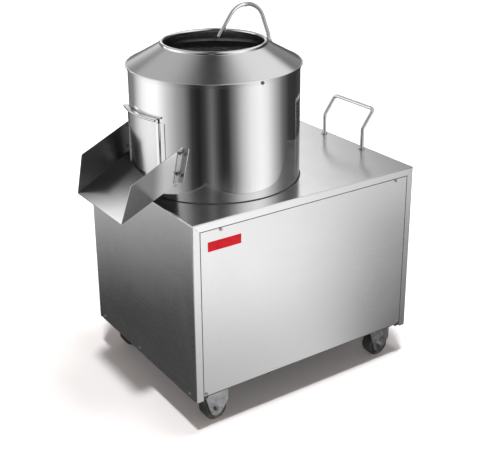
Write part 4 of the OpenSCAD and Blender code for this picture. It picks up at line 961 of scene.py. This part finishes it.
def screw_head():
    deselect_all()
    bpy.ops.mesh.primitive_cylinder_add(
        vertices=28, radius=HEAD_RADIUS, depth=HEAD_HEIGHT, location=(0, 0, HEAD_HEIGHT / 2)
    )
    head = bpy.context.object
    apply_place(head)
    round_rims(head, lambda a, b: min(a.z, b.z) > 0.9 * HEAD_HEIGHT, HEAD_RIM, 4)
    for turn in (0, math.pi / 2):
        deselect_all()
        bpy.ops.mesh.primitive_cube_add(
            size=1, location=(0, 0, HEAD_HEIGHT), rotation=(0, 0, turn), scale=RECESS
        )
        bar = bpy.context.object
        cut = head.modifiers.new("recess", "BOOLEAN")
        cut.object = bar
        cut.solver = "EXACT"
        apply_modifiers(head)
        bpy.data.objects.remove(bar)
    return head


def facing(place, normal, turn):
    """A matrix that sets a head on a face and turns its recess."""
    stand = Vector(normal).to_track_quat("Z", "Y").to_matrix().to_4x4()
    return Matrix.Translation(place) @ stand @ Matrix.Rotation(turn, 4, "Z")


# %% [markdown]
# Four screws hold the front panel, four more the rear one, and three stand low
# on each side. Each is turned a little otherwise, as a screwdriver leaves it.

# %% Screws of the panels
FRONT_SCREWS = ((0.074, 0.4256), (0.592, 0.4256), (0.027, 0.017), (0.623, 0.017))
SIDE_SCREWS, SIDE_SCREW_RISE = (0.033, 0.281, 0.48), 0.008

places = []
for x, z in FRONT_SCREWS:
    places.append(facing((LEFT + x, FRONT, BOTTOM + z), (0, -1, 0), 7 * x + 3 * z))
    places.append(facing((LEFT + x, BACK, BOTTOM + z), (0, 1, 0), 5 * x + z))
for y in SIDE_SCREWS:
    height = BOTTOM + SIDE_SCREW_RISE
    places.append(facing((LEFT, FRONT + y, height), (-1, 0, 0), 9 * y))
    places.append(facing((RIGHT, FRONT + y, height), (1, 0, 0), 4 * y))
panel_screws = copies_of(screw_head(), places)
finish_piece(panel_screws, "panel_screws", screw_zinc)
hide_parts("cover_screws")

# %% [markdown]
# Three darker ones hold the lid. Their heads face outwards on its skirt.

# %% Screws of the lid
LID_SCREWS, LID_SCREW_DROP, LID_SKIRT = (-91, 29, 149), 0.008, 0.00125

places = []
for angle in LID_SCREWS:
    a = math.radians(angle)
    out = Vector((math.cos(a), math.sin(a), 0))
    middle = Vector((AXIS_X, AXIS_Y, DRUM_TOP - LID_SCREW_DROP))
    places.append(facing(middle + (DRUM_RADIUS + LID_SKIRT) * out, out, 0.3 + a))
lid_screws = copies_of(screw_head(), places)
finish_piece(lid_screws, "lid_screws", dark_plate)

# %% [markdown]
# ### Bead under the drum
# A bead of black sealant closes the joint between the drum and the cabinet. A
# Displace modifier makes a torus a little uneven, as a bead laid by hand is,
# and it is cut at the sheet's level, so that only its upper half stays.

# %% Sealing bead
BEAD_OUTSIDE, BEAD_RADIUS, BEAD_LUMP = 0.0012, 0.0015, 0.001

deselect_all()
bpy.ops.mesh.primitive_torus_add(
    major_radius=DRUM_RADIUS + BEAD_OUTSIDE, minor_radius=BEAD_RADIUS,
    major_segments=240, minor_segments=12, location=(AXIS_X, AXIS_Y, CABINET_TOP),
)
bead = bpy.context.object
apply_place(bead)
lumps = bpy.data.textures.new("bead_lumps", "CLOUDS")
lumps.noise_scale = 0.012
uneven = bead.modifiers.new("uneven", "DISPLACE")
uneven.texture = lumps
uneven.strength = BEAD_LUMP
apply_modifiers(bead)
select_only(bead)
bpy.ops.object.mode_set(mode="EDIT")
bpy.ops.mesh.select_all(action="SELECT")
bpy.ops.mesh.bisect(
    plane_co=(0, 0, CABINET_TOP + 0.0001), plane_no=(0, 0, 1), clear_inner=True, use_fill=False
)
leave_edit()
finish_piece(bead, "drum_bead", sealant, smooth=60)

# %% [markdown]
# ### Rolled edge
# The lid's edge is rolled over a wire, and the roll catches the light. It is a
# thin torus at the edge, slightly flattened, in bright steel.

# %% Rolled edge
ROLL_OUTSIDE, ROLL_RADIUS, ROLL_DROP = 0.0042, 0.0017, 0.0012
roll_middle = (AXIS_X, AXIS_Y, DRUM_TOP - ROLL_DROP)

deselect_all()
bpy.ops.mesh.primitive_torus_add(
    major_radius=DRUM_RADIUS + ROLL_OUTSIDE, minor_radius=ROLL_RADIUS,
    major_segments=200, minor_segments=14, location=roll_middle,
)
roll = bpy.context.object
apply_place(roll)
pick_edges(roll, lambda a, b: True)
bpy.ops.transform.resize(value=(1, 1, 0.85), center_override=roll_middle)
leave_edit()
finish_piece(roll, "rolled_edge", bright_rod, smooth=60)

# %% [markdown]
# ### Panel gaskets
# A thin rubber gasket shows as a dark line round each removable panel. A plane
# is inset and its middle taken out. A Solidify modifier gives it thickness, and
# a Bevel modifier rounds it. The back panel gets a copy.

# %% Panel gaskets
GASKET_PAST, GASKET_WIDTH, GASKET_THICKNESS, GASKET_SOFT = 0.0007, 0.0018, 0.0008, 0.0002

low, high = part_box("front_panel")
deselect_all()
bpy.ops.mesh.primitive_plane_add(
    size=1, rotation=(math.pi / 2, 0, 0),
    location=((low[0] + high[0]) / 2, low[1], (low[2] + high[2]) / 2),
)
gasket = bpy.context.object
gasket.scale = (high[0] - low[0] + 2 * GASKET_PAST, high[2] - low[2] + 2 * GASKET_PAST, 1)
apply_place(gasket)
pick_faces(gasket, lambda centre, normal: True)
bpy.ops.mesh.inset(thickness=GASKET_WIDTH)
bpy.ops.mesh.delete(type="FACE")
leave_edit()
thick = gasket.modifiers.new("thick", "SOLIDIFY")
thick.thickness = GASKET_THICKNESS
thick.offset = 0
soft = gasket.modifiers.new("soft", "BEVEL")
soft.width = GASKET_SOFT
soft.segments = 2
apply_modifiers(gasket)
to_back = (0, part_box("rear_panel")[1][1] - low[1], 0)
gaskets = copies_of(gasket, [Matrix(), Matrix.Translation(to_back)])
finish_piece(gaskets, "panel_gaskets", gasket_rubber)

# %% [markdown]
# ### Folds of the top
# The sheet of the top is folded down at its four edges, and each fold catches
# the light as a fine line. A fold is a thin cylinder with softened ends that
# stands a little proud. Opposite folds are copies of each other.

# %% Folds of the top
FOLD_RADIUS, FOLD_PROUD, FOLD_SHORT = 0.0014, 0.0003, 0.002
inset = FOLD_RADIUS - FOLD_PROUD


def fold_bar(length, turn):
    """A bar along Y from the origin, or along X where it is turned."""
    deselect_all()
    bpy.ops.mesh.primitive_cylinder_add(
        vertices=20, radius=FOLD_RADIUS, depth=length - FOLD_SHORT, location=(0, 0, length / 2)
    )
    bar = bpy.context.object
    apply_place(bar)
    round_rims(bar, lambda a, b: abs(a.z - b.z) < FOLD_RADIUS / 2, 0.0005)
    bar.data.transform(Matrix.Rotation(turn, 4, "Z") @ Matrix.Rotation(-math.pi / 2, 4, "X"))
    return bar


level = CABINET_TOP - inset
at_the_sides = [Matrix.Translation((x, FRONT, level)) for x in (LEFT + inset, RIGHT - inset)]
side_folds = copies_of(fold_bar(BACK - FRONT, 0.0), at_the_sides)
at_the_ends = [Matrix.Translation((LEFT, y, level)) for y in (FRONT + inset, BACK - inset)]
end_folds = copies_of(fold_bar(RIGHT - LEFT, -math.pi / 2), at_the_ends)
folds = join([side_folds, end_folds])
finish_piece(folds, "top_folds", drum_sheet, smooth=50)

# %% [markdown]
# ### Louvres
# The motor needs air, so the rear panel has slots behind it, and each slot has
# a pressed hood. One hood is a box, tapered towards its top and open below and
# behind. A Solidify modifier gives it thickness and an Array repeats it.

# %% Louvres
HOODS, HOOD_PITCH, FIRST_SLOT = 7, 0.016, 0.24
HOOD_WIDTH, HOOD_DEPTH, HOOD_HEIGHT = 0.096, 0.0052, 0.0115
SLOT_X = sum(box[0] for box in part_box("motor_body")) / 2
SLOT_Z = BOTTOM + FIRST_SLOT
hood_middle = (SLOT_X, BACK + HOOD_DEPTH / 2, SLOT_Z + 0.005)

deselect_all()
bpy.ops.mesh.primitive_cube_add(
    size=1, location=hood_middle, scale=(HOOD_WIDTH, HOOD_DEPTH, HOOD_HEIGHT)
)
hood = bpy.context.object
apply_place(hood)
is_outer = BACK + 0.003
pick_edges(hood, lambda a, b: min(a.y, b.y) > is_outer and min(a.z, b.z) > hood_middle[2])
bpy.ops.transform.translate(value=(0, -0.0046, 0))
leave_edit()
pick_edges(hood, lambda a, b: min(a.y, b.y) > is_outer)
bpy.ops.transform.resize(value=(0.9, 1, 1), center_override=(SLOT_X, BACK, SLOT_Z))
leave_edit()
pick_faces(hood, lambda centre, normal: normal.z < -0.9 or normal.y < -0.9)
bpy.ops.mesh.delete(type="FACE")
leave_edit()
shell = hood.modifiers.new("shell", "SOLIDIFY")
shell.thickness = 0.0009
rounded = hood.modifiers.new("rounded", "BEVEL")
rounded.width = 0.0003
rounded.segments = 2
rows = hood.modifiers.new("rows", "ARRAY")
rows.count = HOODS
rows.use_relative_offset = False
rows.use_constant_offset = True
rows.constant_offset_displace = (0, 0, HOOD_PITCH)
apply_modifiers(hood)
finish_piece(hood, "motor_louvres", front_sheet)
